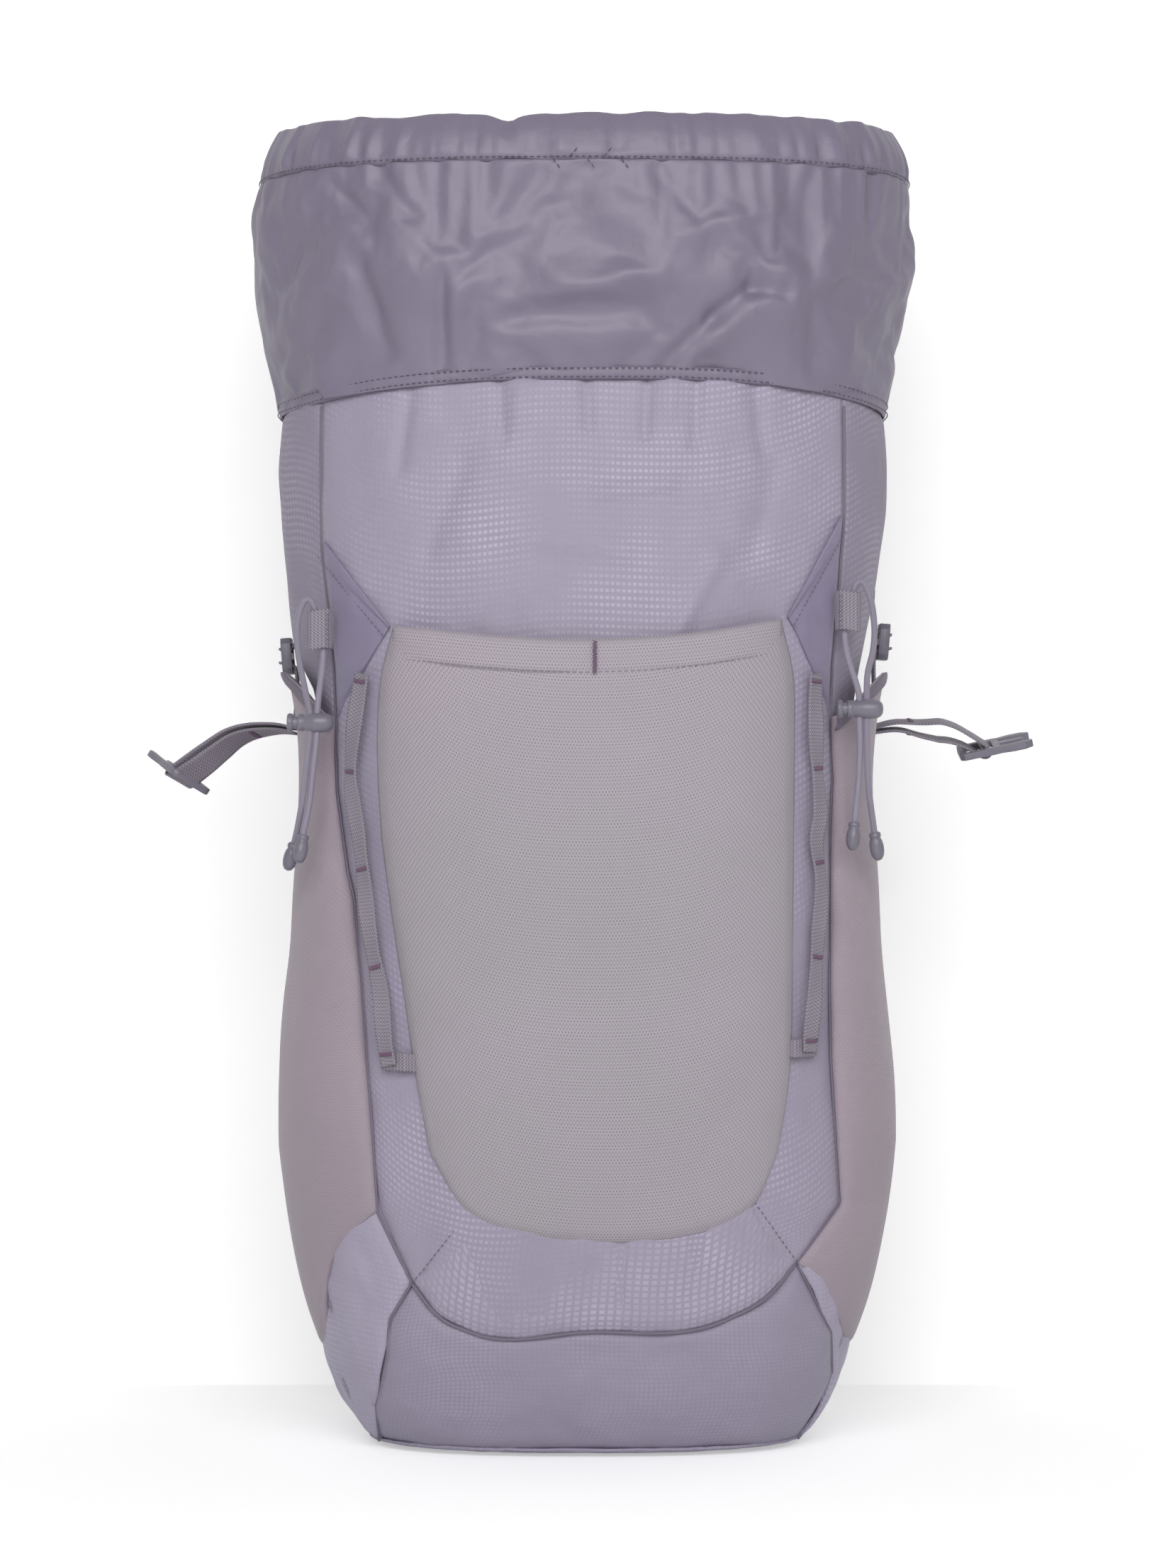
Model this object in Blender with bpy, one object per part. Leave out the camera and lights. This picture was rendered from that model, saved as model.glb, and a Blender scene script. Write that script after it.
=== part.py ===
"""A daypack with an extension collar: sewn panels, stretch pockets, webbing, cords and moulded trims.

Units are metres and +Z is up. The front of the bag faces -Y, its back panel faces +Y, and the origin
lies on the floor in the middle of the base panel. Left and right are as seen from the front: left is -X.
"""

import math

import bmesh
import bpy
import numpy as np
from mathutils import Matrix, Vector

# Driving dimensions of the bag.
BODY_TOP = 0.505  # where the collar is sewn on
RIM_TOP = 0.638  # top of the pulled-up collar
HEM_HEIGHT = 0.024
FABRIC = 0.0012
GAP = 0.0003
SEAM_GAP = 0.0014
BACK_SLIT = 0.022  # half the gap at the back seam, as a turn

# Cross-sections of the shell: height, half width, depth in front of the middle, depth behind it.
SECTIONS = (
    (0.000, 0.104, 0.060, 0.058),
    (0.020, 0.117, 0.070, 0.066),
    (0.060, 0.129, 0.083, 0.074),
    (0.110, 0.136, 0.092, 0.078),
    (0.170, 0.137, 0.097, 0.080),
    (0.250, 0.131, 0.097, 0.080),
    (0.340, 0.128, 0.092, 0.080),
    (0.420, 0.141, 0.087, 0.078),
    (0.470, 0.146, 0.083, 0.076),
    (0.505, 0.145, 0.081, 0.075),
    (0.535, 0.149, 0.085, 0.078),
    (0.560, 0.155, 0.090, 0.082),
    (0.590, 0.157, 0.092, 0.084),
    (0.615, 0.156, 0.090, 0.082),
    (0.638, 0.150, 0.084, 0.076),
)
FRONT_POWER = 2.6  # superellipse powers: the front is round and the back is flat
BACK_POWER = 4.5

# Seams, as heights and distances from the middle.
FRONT_SEAM = ((0.003, 0.098), (0.110, 0.103), (0.230, 0.107), (0.350, 0.1165), (0.505, 0.128))
BACK_SEAM_SHARE = 0.96  # the back seam's distance from the middle, as a share of the half width
BASE_THICKNESS = 0.0025
WALL_FOOT = 0.0030
BOOT_TOP = 0.062
LOWER_TOP = 0.104
POCKET_EDGE_LIFT = 0.0028
FRONT_POCKET_BULGE = 0.015
SIDE_POCKET_BULGE = 0.013

# Webbing, cord and moulded trims.
STRAP_WIDTH = 0.015
STRAP_THICKNESS = 0.0012
DAISY_WIDTH = 0.0085
CHEST_WIDTH = 0.020
LOWER_WIDTH = 0.018
CORD_DIAMETER = 0.003
BUCKLE_THICKNESS = 0.0034
LOCK_RADIUS = 0.0045

COLOURS = {
    "ripstop": ((0.40, 0.37, 0.50), 0.55),
    "wing": ((0.29, 0.26, 0.38), 0.50),
    "boot": ((0.33, 0.31, 0.42), 0.55),
    "taffeta": ((0.24, 0.20, 0.31), 0.38),
    "mesh": ((0.46, 0.40, 0.43), 0.85),
    "webbing": ((0.27, 0.23, 0.29), 0.75),
    "cord": ((0.30, 0.27, 0.34), 0.70),
    "moulding": ((0.23, 0.22, 0.28), 0.32),
    "foam": ((0.22, 0.19, 0.26), 0.85),
    "plate": ((0.60, 0.60, 0.62), 0.50),
    "steel": ((0.62, 0.62, 0.62), 0.30),
}


def clear_scene() -> None:
    """Removes every object, so that the script can run again in an open file."""
    for obj in list(bpy.data.objects):
        bpy.data.objects.remove(obj, do_unlink=True)


def finish(obj, colour: str):
    """Gives the object its own material in one of the bag's colours."""
    tone, roughness = COLOURS[colour]
    material = bpy.data.materials.new(obj.name)
    material.use_nodes = True
    shader = material.node_tree.nodes["Principled BSDF"]
    shader.inputs["Base Color"].default_value = (*tone, 1.0)
    shader.inputs["Roughness"].default_value = roughness
    shader.inputs["Metallic"].default_value = 1.0 if colour == "steel" else 0.0
    obj.data.materials.append(material)
    return obj


def add_mesh(name: str, maker, colour: str):
    """Turns a bmesh into a named object with a material."""
    mesh = bpy.data.meshes.new(name)
    maker.to_mesh(mesh)
    maker.free()
    obj = bpy.data.objects.new(name, mesh)
    bpy.context.scene.collection.objects.link(obj)
    return finish(obj, colour)


def move_origin(obj, point):
    """Puts the object's origin on its joint's axis and leaves the shape where it is."""
    obj.data.transform(Matrix.Translation(-Vector(point)))
    obj.location = point
    return obj


def smooth_value(at: float, stations, column: int) -> float:
    """Cubic interpolation through (position, value, ...) rows."""
    places = [row[0] for row in stations]
    values = [row[column] for row in stations]
    slopes = np.gradient(values, places)
    i = min(max(int(np.searchsorted(places, at)) - 1, 0), len(places) - 2)
    span = places[i + 1] - places[i]
    t = min(max((at - places[i]) / span, 0.0), 1.0)
    start = (2 * t**3 - 3 * t**2 + 1) * values[i] + (t**3 - 2 * t**2 + t) * span * slopes[i]
    end = (3 * t**2 - 2 * t**3) * values[i + 1] + (t**3 - t**2) * span * slopes[i + 1]
    return float(start + end)


def smooth_route(points, count: int) -> list:
    """Points spread evenly along a smooth curve through the given points."""
    given = [Vector(p) for p in points]
    ends = [2 * given[0] - given[1], *given, 2 * given[-1] - given[-2]]
    fine = []
    steps = 16
    for a, b, c, d in zip(ends, ends[1:], ends[2:], ends[3:]):
        for k in range(steps):
            t = k / steps
            bend = (2 * a - 5 * b + 4 * c - d) * t**2 + (3 * b - a - 3 * c + d) * t**3
            fine.append(0.5 * (2 * b + (c - a) * t + bend))
    fine.append(given[-1])
    along = np.concatenate([[0], np.cumsum([(q - p).length for p, q in zip(fine, fine[1:])])])
    wanted = np.linspace(0, along[-1], count)
    table = np.array([list(p) for p in fine])
    return [Vector(np.interp(w, along, table[:, k]) for k in range(3)) for w in wanted]


def section_at(z: float):
    """Half width, front depth and back depth of the shell at a height."""
    return tuple(smooth_value(z, SECTIONS, column) for column in (1, 2, 3))


def front_point(x: float, z: float, lift: float = 0.0) -> Vector:
    """A point on the front of the shell, at a distance from the middle and a lift off the fabric."""
    half, front, _ = section_at(z)
    ratio = min(abs(x) / (half + lift), 1.0)
    return Vector((x, -(front + lift) * (1 - ratio**FRONT_POWER) ** (1 / FRONT_POWER), z))


def wall_point(turn: float, z: float, lift: float = 0.0) -> Vector:
    """A point on the shell by its turn round the bag: 0 is the front, a quarter turn is +X."""
    half, front, back = section_at(z)
    power, depth = (FRONT_POWER, front) if math.cos(turn) >= 0 else (BACK_POWER, back)
    across = math.copysign(abs(math.sin(turn)) ** (2 / power), math.sin(turn))
    deep = math.copysign(abs(math.cos(turn)) ** (2 / power), math.cos(turn))
    return Vector(((half + lift) * across, -(depth + lift) * deep, z))


def wall_turn(point) -> float:
    """The turn at which a point of the shell lies: what wall_point was given for it."""
    half, front, back = section_at(point.z)
    power, depth = (FRONT_POWER, front) if point.y <= 0 else (BACK_POWER, back)
    across = math.copysign(min(abs(point.x) / half, 1.0) ** (power / 2), point.x)
    deep = math.copysign(min(abs(point.y) / depth, 1.0) ** (power / 2), -point.y)
    return math.atan2(across, deep)


def front_seam(z: float) -> float:
    """Distance of the front seam from the middle."""
    return smooth_value(z, FRONT_SEAM, 1)


def front_seam_turn(z: float) -> float:
    """Turn at which the front seam lies."""
    return math.asin((front_seam(z) / section_at(z)[0]) ** (FRONT_POWER / 2))


BACK_SEAM_TURN = math.pi - math.asin(BACK_SEAM_SHARE ** (BACK_POWER / 2))


def between(a, b, share: float):
    """The value or point at a share of the way from a to b."""
    return a + (b - a) * share


def sheet(name: str, place, columns: int, rows: int, thickness: float, colour: str, offset: float = -1.0):
    """A plate whose outer face is place(u, v), with u and v from 0 to 1; it thickens inwards."""
    maker = bmesh.new()
    bmesh.ops.create_grid(maker, x_segments=columns, y_segments=rows, size=0.5)
    for vert in maker.verts:
        vert.co = place(vert.co.x + 0.5, vert.co.y + 0.5)
    obj = add_mesh(name, maker, colour)
    obj.data.shade_smooth()
    wall = obj.modifiers.new("Thickness", "SOLIDIFY")
    wall.thickness = thickness
    wall.offset = offset
    return obj


def ribbon(name: str, points, widths, width: float, thickness: float, colour: str, columns: int, rows=1):
    """A flat strap along a smooth route. widths are the directions across it, spread along the route."""
    route = smooth_route(points, columns + 1)
    across = [w.normalized() for w in smooth_route(widths, columns + 1)]

    def place(u: float, v: float) -> Vector:
        step = round(u * columns)
        return route[step] + across[step] * width * (v - 0.5)

    return sheet(name, place, columns, rows, thickness, colour, offset=0.0)


def blended_patch(left, right, bottom, top, u: float, v: float) -> Vector:
    """A point of a patch spanned between four edge curves, each a function from 0 to 1."""
    sides = between(left(v), right(v), u) + between(bottom(u), top(u), v)
    corners = between(between(left(0), right(0), u), between(left(1), right(1), u), v)
    return sides - corners


def edge(points):
    """A function from 0 to 1 along a smooth curve through (x, z) points."""
    fine = smooth_route([(x, 0, z) for x, z in points], 65)

    def at(share: float) -> Vector:
        low = min(int(share * 64), 63)
        return between(fine[low], fine[low + 1], share * 64 - low)

    return at


def plate(name: str, outline, thickness: float, windows, matrix, colour: str):
    """A flat moulding with rectangular windows, given by (low x, low y, high x, high y)."""
    maker = bmesh.new()
    face = maker.faces.new([maker.verts.new((x, y, -thickness / 2)) for x, y in outline])
    extruded = bmesh.ops.extrude_face_region(maker, geom=[face])
    raised = [g for g in extruded["geom"] if isinstance(g, bmesh.types.BMVert)]
    bmesh.ops.translate(maker, verts=raised, vec=(0, 0, thickness))
    bmesh.ops.recalc_face_normals(maker, faces=maker.faces)
    obj = add_mesh(name, maker, colour)
    obj.matrix_world = matrix
    for index, (x0, y0, x1, y1) in enumerate(windows):
        cut_box(obj, f"{name}_window_{index}", (x0, y0, -thickness), (x1, y1, thickness), matrix)
    return obj


def cut_box(obj, name: str, low, high, matrix):
    """Cuts a box, given in the piece's own frame, out of the piece."""
    maker = bmesh.new()
    bmesh.ops.create_cube(maker, size=1.0)
    bmesh.ops.scale(maker, vec=[b - a for a, b in zip(low, high)], verts=maker.verts)
    bmesh.ops.translate(maker, vec=[(a + b) / 2 for a, b in zip(low, high)], verts=maker.verts)
    cutter = add_mesh(name, maker, "moulding")
    cutter.matrix_world = matrix
    cutter.hide_render = True
    cutter.display_type = "WIRE"
    cut = obj.modifiers.new(name, "BOOLEAN")
    cut.operation = "DIFFERENCE"
    cut.object = cutter


def turned(name: str, profile, matrix, colour: str, steps: int = 14):
    """A turned piece on its own Z axis from (radius, height) points that start and end on the axis."""
    maker = bmesh.new()
    verts = [maker.verts.new((radius, 0, height)) for radius, height in profile]
    edges = [maker.edges.new(pair) for pair in zip(verts, verts[1:])]
    axis = {"axis": (0, 0, 1), "cent": (0, 0, 0)}
    bmesh.ops.spin(maker, geom=[*verts, *edges], angle=math.tau, steps=steps, use_merge=True, **axis)
    bmesh.ops.remove_doubles(maker, verts=maker.verts, dist=1e-6)
    bmesh.ops.recalc_face_normals(maker, faces=maker.faces)
    obj = add_mesh(name, maker, colour)
    obj.data.shade_smooth()
    obj.data.set_sharp_from_angle(angle=math.radians(40))
    obj.matrix_world = matrix
    return obj


def tube(name: str, route, diameter: float, colour: str):
    """A round cord along points that already lie on a smooth curve."""
    data = bpy.data.curves.new(name, "CURVE")
    data.dimensions = "3D"
    data.bevel_depth = diameter / 2
    data.bevel_resolution = 2
    data.use_fill_caps = True
    spline = data.splines.new("POLY")
    spline.points.add(len(route) - 1)
    for point, place in zip(spline.points, route):
        point.co = (*place, 1.0)
    obj = bpy.data.objects.new(name, data)
    bpy.context.scene.collection.objects.link(obj)
    return finish(obj, colour)


def axes_matrix(origin, x_axis, y_axis) -> Matrix:
    """A frame from its origin and two directions; the second is made square to the first."""
    x = Vector(x_axis).normalized()
    z = x.cross(Vector(y_axis)).normalized()
    y = z.cross(x)
    frame = Matrix((x, y, z)).transposed().to_4x4()
    frame.translation = Vector(origin)
    return frame


# --- Shell ---------------------------------------------------------------------------------------


def front_part(name: str, low, high, rows: int, colour: str):
    """A front panel between two height functions of the share across, from seam to seam."""

    def place(u: float, v: float) -> Vector:
        z = between(low(u), high(u), v)
        turn = front_seam_turn(z) - SEAM_GAP / 2 / section_at(z)[0]
        return wall_point(between(-turn, turn, u), z)

    return sheet(name, place, 12, rows, FABRIC, colour)


def build_front_panels() -> None:
    """Boot, lower and upper front panels, which share their cross seams."""

    def boot_seam(u: float) -> float:
        return BOOT_TOP + 0.020 * abs(2 * u - 1) ** 3

    def lower_seam(u: float) -> float:
        return LOWER_TOP + 0.012 * abs(2 * u - 1) ** 3

    front_part("boot_panel", lambda u: WALL_FOOT, boot_seam, 4, "boot")
    front_part("lower_front_panel", lambda u: boot_seam(u) + SEAM_GAP, lower_seam, 2, "ripstop")
    front_part("front_panel", lambda u: lower_seam(u) + SEAM_GAP, lambda u: BODY_TOP, 10, "ripstop")


def build_side_panels() -> None:
    """Side panels from the front seam round to the back seam."""
    for side, word in ((-1, "left"), (1, "right")):

        def place(u: float, v: float) -> Vector:
            z = between(WALL_FOOT, BODY_TOP, v)
            near = front_seam_turn(z) + SEAM_GAP / 2 / section_at(z)[0]
            far = BACK_SEAM_TURN - BACK_SLIT
            turn = between(near, far, u) if side > 0 else between(-far, -near, u)
            return wall_point(turn, z)

        sheet(f"side_panel_{word}", place, 7, 12, FABRIC, "ripstop")


def build_back_and_base() -> None:
    """Rear panel, frame sheet and back pad, and the flat base."""

    def back_plate(name, share, low, high, lift, thickness, columns, rows, colour):
        def place(u: float, v: float) -> Vector:
            z = between(low, high, v)
            x = between(share, -share, u)
            half, _, back = section_at(z)
            ratio = min(abs(x) / (half + lift), 1.0)
            return Vector((x, (back + lift) * (1 - ratio**BACK_POWER) ** (1 / BACK_POWER), z))

        return sheet(name, place, columns, rows, thickness, colour)

    def rear_place(u: float, v: float) -> Vector:
        z = between(WALL_FOOT, BODY_TOP, v)
        near = BACK_SEAM_TURN + BACK_SLIT
        return wall_point(between(near, math.tau - near, u), z)

    sheet("rear_panel", rear_place, 10, 9, FABRIC, "foam")
    back_plate("frame_sheet", 0.098, 0.045, 0.470, -0.004, 0.0015, 6, 5, "plate")
    back_plate("back_pad", 0.108, 0.050, 0.465, 0.011, 0.009, 6, 6, "foam")

    maker = bmesh.new()
    outline = [wall_point(math.tau * k / 40, 0.0, -0.0008) for k in range(40)]
    face = maker.faces.new([maker.verts.new(p) for p in outline])
    extruded = bmesh.ops.extrude_face_region(maker, geom=[face])
    raised = [g for g in extruded["geom"] if isinstance(g, bmesh.types.BMVert)]
    bmesh.ops.translate(maker, verts=raised, vec=(0, 0, BASE_THICKNESS))
    bmesh.ops.recalc_face_normals(maker, faces=maker.faces)
    add_mesh("base_panel", maker, "boot")


def ring_band(name: str, low: float, high: float, lift: float, thickness: float, rows: int, colour: str):
    """A closed band of the shell between two heights: a ring raised row by row, then thickened."""
    segments = 32
    maker = bmesh.new()
    ring = bmesh.ops.create_circle(maker, segments=segments, radius=1.0)["verts"]
    for vert in ring:
        vert.co = wall_point(math.atan2(vert.co.x, -vert.co.y), low, lift)
    edges = list(maker.edges)
    for row in range(rows):
        z = between(low, high, (row + 1) / rows)
        raised = bmesh.ops.extrude_edge_only(maker, edges=edges)["geom"]
        edges = [g for g in raised if isinstance(g, bmesh.types.BMEdge)]
        for vert in [g for g in raised if isinstance(g, bmesh.types.BMVert)]:
            vert.co = wall_point(wall_turn(vert.co), z, lift)
    bmesh.ops.recalc_face_normals(maker, faces=maker.faces)
    first = maker.faces[:][0]
    if first.normal.dot(Vector((first.calc_center_median().x, first.calc_center_median().y, 0))) < 0:
        bmesh.ops.reverse_faces(maker, faces=maker.faces)
    obj = add_mesh(name, maker, colour)
    obj.data.shade_smooth()
    wall = obj.modifiers.new("Thickness", "SOLIDIFY")
    wall.thickness = thickness
    wall.offset = -1.0
    return obj


def build_collar() -> None:
    """Extension collar and the drawcord channel at its top."""
    hem_foot = RIM_TOP - HEM_HEIGHT
    ring_band("collar", BODY_TOP + SEAM_GAP, hem_foot - SEAM_GAP, 0.0, FABRIC, 4, "taffeta")
    ring_band("collar_hem", hem_foot, RIM_TOP, 0.0005, 0.003, 1, "taffeta")


def build_wings() -> None:
    """Facets from the side seams down to the pocket's top corners."""
    for side, word in ((-1, "left"), (1, "right")):
        high, low = Vector((0.1245, 0, 0.436)), Vector((0.1185, 0, 0.352))
        corner, heel = Vector((0.0935, 0, 0.397)), Vector((0.1030, 0, 0.376))

        def place(u: float, v: float) -> Vector:
            inner = between(heel, corner, v)
            outer = between(low, high, v)
            flat = between(inner, outer, u if side > 0 else 1 - u)
            return front_point(side * flat.x, flat.z, 0.0022)

        sheet(f"front_wing_{word}", place, 4, 5, FABRIC, "wing")


# --- Pockets -------------------------------------------------------------------------------------


def build_front_pocket() -> None:
    """Stretch pocket, sewn round its sides and foot and open at the top."""
    left = edge([(-0.073, 0.147), (-0.080, 0.184), (-0.086, 0.223), (-0.092, 0.262), (-0.097, 0.300),
                 (-0.099, 0.340), (-0.097, 0.370), (-0.091, 0.394)])
    right = edge([(0.090, 0.147), (0.0955, 0.184), (0.097, 0.223), (0.0975, 0.262), (0.098, 0.300),
                  (0.0985, 0.340), (0.098, 0.370), (0.092, 0.397)])
    bottom = edge([(-0.073, 0.147), (-0.055, 0.119), (-0.025, 0.108), (0.018, 0.1055), (0.055, 0.110),
                   (0.078, 0.122), (0.090, 0.147)])
    top = edge([(-0.091, 0.394), (-0.040, 0.3885), (0.004, 0.387), (0.050, 0.390), (0.092, 0.397)])

    def place(u: float, v: float) -> Vector:
        flat = blended_patch(left, right, bottom, top, u, v)
        rise = min(v / 0.35, 1.0) ** 0.7 * math.sin(math.pi * u) ** 0.5
        lift = POCKET_EDGE_LIFT + (FRONT_POCKET_BULGE - POCKET_EDGE_LIFT) * rise
        return front_point(flat.x, flat.z, lift)

    sheet("front_pocket", place, 12, 11, FABRIC, "mesh")


def build_side_pockets() -> None:
    """Stretch side pockets, from the front seam round to the back seam, open at the top."""
    for side, word in ((-1, "left"), (1, "right")):

        def place(u: float, v: float) -> Vector:
            share = u if side > 0 else 1 - u
            low = 0.112 - 0.055 * min(share / 0.35, 1.0) ** 0.8
            high = 0.352 + 0.022 * math.sin(math.pi * share)
            z = between(low, high, v)
            near = front_seam_turn(z) + 0.03
            far = BACK_SEAM_TURN - 0.03
            rise = min(v / 0.3, 1.0) ** 0.7 * math.sin(math.pi * share) ** 0.6
            lift = POCKET_EDGE_LIFT + (SIDE_POCKET_BULGE - POCKET_EDGE_LIFT) * rise
            return wall_point(side * between(near, far, share), z, lift)

        sheet(f"side_pocket_{word}", place, 9, 8, FABRIC, "mesh")


# --- Webbing and cord on the front ---------------------------------------------------------------

DAISY_ROUTES = {
    "left": ((-0.1060, 0.372), (-0.1085, 0.356), (-0.1105, 0.341), (-0.1117, 0.322), (-0.1096, 0.308),
             (-0.1074, 0.296), (-0.1044, 0.271), (-0.1010, 0.245), (-0.0965, 0.222), (-0.0945, 0.200),
             (-0.0925, 0.188)),
    "right": ((0.1085, 0.372), (0.1082, 0.356), (0.1088, 0.336), (0.1101, 0.315), (0.1105, 0.305),
              (0.1088, 0.293), (0.1109, 0.271), (0.1092, 0.247), (0.1075, 0.222), (0.1058, 0.205),
              (0.1052, 0.194)),
}
DAISY_TACKS = 4
DAISY_RISE = 0.003


def build_daisy_chains() -> None:
    """Narrow webbing beside the front pocket, tacked down every few centimetres."""
    for word, route in DAISY_ROUTES.items():
        columns = 28
        line = smooth_route([(x, 0, z) for x, z in route], columns + 1)

        def place(u: float, v: float) -> Vector:
            point = line[round(u * columns)]
            lift = 0.0052 + DAISY_RISE * math.sin(math.pi * DAISY_TACKS * u) ** 2
            return front_point(point.x + DAISY_WIDTH * (0.5 - v), point.z, lift)

        obj = sheet(f"daisy_chain_{word}", place, columns, 1, STRAP_THICKNESS, "webbing")
        obj.data.flip_normals()


KEEPERS = {"left": (-0.1265, 0.393), "right": (0.1243, 0.4017)}
KEEPER_HEIGHT = 0.0185
KEEPER_Y = -0.068


def build_keepers() -> None:
    """Folded webbing tabs that hold the shock cord, each a loop round an upright channel."""
    for word, (x, z) in KEEPERS.items():
        inward = 1 if x < 0 else -1
        wrap = [(0.0062, 0.0030), (0.0030, 0.0034), (-0.0035, 0.0031), (-0.0052, 0.0000),
                (-0.0035, -0.0031), (0.0030, -0.0026), (0.0062, 0.0006)]
        points = [(x + inward * a, KEEPER_Y + b, z) for a, b in wrap]
        tall = [(0, 0, inward)] * 2
        ribbon(f"cord_keeper_{word}", points, tall, KEEPER_HEIGHT, STRAP_THICKNESS, "webbing", 14)


# Each side has one shock cord. It is doubled in its keeper, and its two strands hang through the lock.
STRANDS = {
    "left": {
        "outer": ((-0.1280, -0.0680, 0.3870), (-0.1282, -0.0680, 0.3960), (-0.1290, -0.0682, 0.4045),
                  (-0.1325, -0.0695, 0.4075), (-0.1362, -0.0700, 0.3990), (-0.1367, -0.0700, 0.3870),
                  (-0.1350, -0.0700, 0.3745), (-0.1325, -0.0695, 0.3625), (-0.1307, -0.0690, 0.3530),
                  (-0.1307, -0.0690, 0.3450), (-0.1325, -0.0690, 0.3280), (-0.1345, -0.0690, 0.3110),
                  (-0.1370, -0.0660, 0.2980), (-0.1395, -0.0640, 0.2880)),
        "inner": ((-0.1246, -0.0680, 0.4000), (-0.1246, -0.0680, 0.3870), (-0.1246, -0.0682, 0.3790),
                  (-0.1255, -0.0690, 0.3700), (-0.1266, -0.0692, 0.3610), (-0.1273, -0.0690, 0.3530),
                  (-0.1273, -0.0690, 0.3450), (-0.1291, -0.0690, 0.3280), (-0.1310, -0.0690, 0.3110),
                  (-0.1330, -0.0715, 0.3000), (-0.1343, -0.0725, 0.2920)),
    },
    "right": {
        "outer": ((0.1258, -0.0680, 0.3960), (0.1260, -0.0680, 0.4050), (0.1268, -0.0682, 0.4130),
                  (0.1305, -0.0695, 0.4158), (0.1345, -0.0700, 0.4070), (0.1362, -0.0700, 0.3940),
                  (0.1355, -0.0700, 0.3830), (0.1330, -0.0695, 0.3720), (0.1326, -0.0690, 0.3600),
                  (0.1326, -0.0690, 0.3510), (0.1328, -0.0690, 0.3350), (0.1336, -0.0690, 0.3180),
                  (0.1355, -0.0660, 0.3040), (0.1372, -0.0645, 0.2930)),
        "inner": ((0.1224, -0.0680, 0.4080), (0.1224, -0.0680, 0.3950), (0.1226, -0.0682, 0.3860),
                  (0.1245, -0.0690, 0.3770), (0.1275, -0.0692, 0.3680), (0.1292, -0.0690, 0.3600),
                  (0.1292, -0.0690, 0.3510), (0.1294, -0.0690, 0.3350), (0.1285, -0.0690, 0.3180),
                  (0.1272, -0.0705, 0.3070), (0.1264, -0.0710, 0.2980)),
    },
}
LOCKS = {"left": (-0.1290, -0.0690, 0.3490), "right": (0.1309, -0.0690, 0.3555)}
CORD_END_LENGTH = 0.0135
CORD_IN_END = 0.004


def build_cords() -> None:
    """Shock cord strands and the moulded ends they finish in."""
    profile = ((0.0, -CORD_END_LENGTH), (0.0024, -CORD_END_LENGTH), (0.0033, -0.0118), (0.0034, -0.0090),
               (0.0031, -0.0040), (0.0028, 0.0), (0.0022, 0.0), (0.0022, -CORD_IN_END - GAP),
               (0.0, -CORD_IN_END - GAP))
    for word, strands in STRANDS.items():
        for strand, points in strands.items():
            line = smooth_route(points, 21)
            along = (line[-1] - line[-2]).normalized()
            tube(f"shock_cord_{word}_{strand}", line, CORD_DIAMETER, "cord")
            frame = axes_matrix(line[-1] - along * CORD_IN_END, Vector((0, 1, 0)).cross(along), (0, 1, 0))
            frame = frame if frame.col[2].xyz.dot(along) < 0 else frame @ Matrix.Rotation(math.pi, 4, "Y")
            turned(f"cord_end_{word}_{strand}", profile, frame, "moulding", 12)


LOCK_LENGTH = 0.017
LOCK_SLOT = (-0.0043, 0.0043)  # where the strands pass, along the barrel
LOCK_SLOT_WIDTH = 0.0040
PLUNGER_TRAVEL = 0.002
STEM_RADIUS = 0.0031
BORE_RADIUS = 0.0034
BORE_END = 0.0078
STEM_TIP = 0.0054
FLANGE = (-0.0125, -0.0098)
SPRING_RADIUS = 0.0022
SPRING_WIRE = 0.0005


def build_cord_locks() -> None:
    """Barrel, sprung plunger and spring of each cord lock. The barrel lies along X."""
    back, front = -LOCK_LENGTH / 2 + 0.0010, LOCK_LENGTH / 2 + 0.0010
    barrel = ((0.0, BORE_END), (BORE_RADIUS, BORE_END), (BORE_RADIUS, back), (LOCK_RADIUS, back),
              (LOCK_RADIUS, front - 0.0030), (0.0040, front - 0.0010), (0.0028, front),
              (0.0, front + 0.0004))
    plunger = ((0.0, FLANGE[0]), (0.0038, FLANGE[0]), (0.0044, FLANGE[0] + 0.0006),
               (0.0044, FLANGE[1]), (STEM_RADIUS, FLANGE[1]), (STEM_RADIUS, STEM_TIP), (0.0, STEM_TIP))
    for word, place in LOCKS.items():
        frame = Matrix.Translation(place) @ Matrix.Rotation(math.pi / 2, 4, "Y")
        shell = turned(f"cord_lock_barrel_{word}", barrel, frame, "moulding", 16)
        button = turned(f"cord_lock_plunger_{word}", plunger, frame, "moulding", 16)
        cut_slot(shell, LOCK_SLOT[0], LOCK_SLOT[1], place)
        cut_slot(button, LOCK_SLOT[0] - PLUNGER_TRAVEL, LOCK_SLOT[1] + 0.0002, place)
        build_spring(word, place)


def cut_slot(obj, low: float, high: float, place) -> None:
    """Cuts the upright slot that the two strands pass through."""
    half = LOCK_SLOT_WIDTH / 2
    reach = 2 * LOCK_RADIUS
    cut_box(obj, f"{obj.name}_slot", (low, -half, -reach), (high, half, reach), Matrix.Translation(place))


def build_spring(word: str, place) -> None:
    """The short coil between the plunger's tip and the end of the bore."""
    turns, steps = 1, 14
    start = place[0] + STEM_TIP + SPRING_WIRE / 2 + 2 * GAP
    length = BORE_END - STEM_TIP - SPRING_WIRE - 4 * GAP
    coil = []
    for k in range(turns * steps + 1):
        angle = math.tau * k / steps
        x = start + length * k / (turns * steps)
        y = place[1] + SPRING_RADIUS * math.cos(angle)
        coil.append((x, y, place[2] + SPRING_RADIUS * math.sin(angle)))
    tube(f"cord_lock_spring_{word}", coil, SPRING_WIRE, "steel")


# --- Compression straps --------------------------------------------------------------------------

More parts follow.
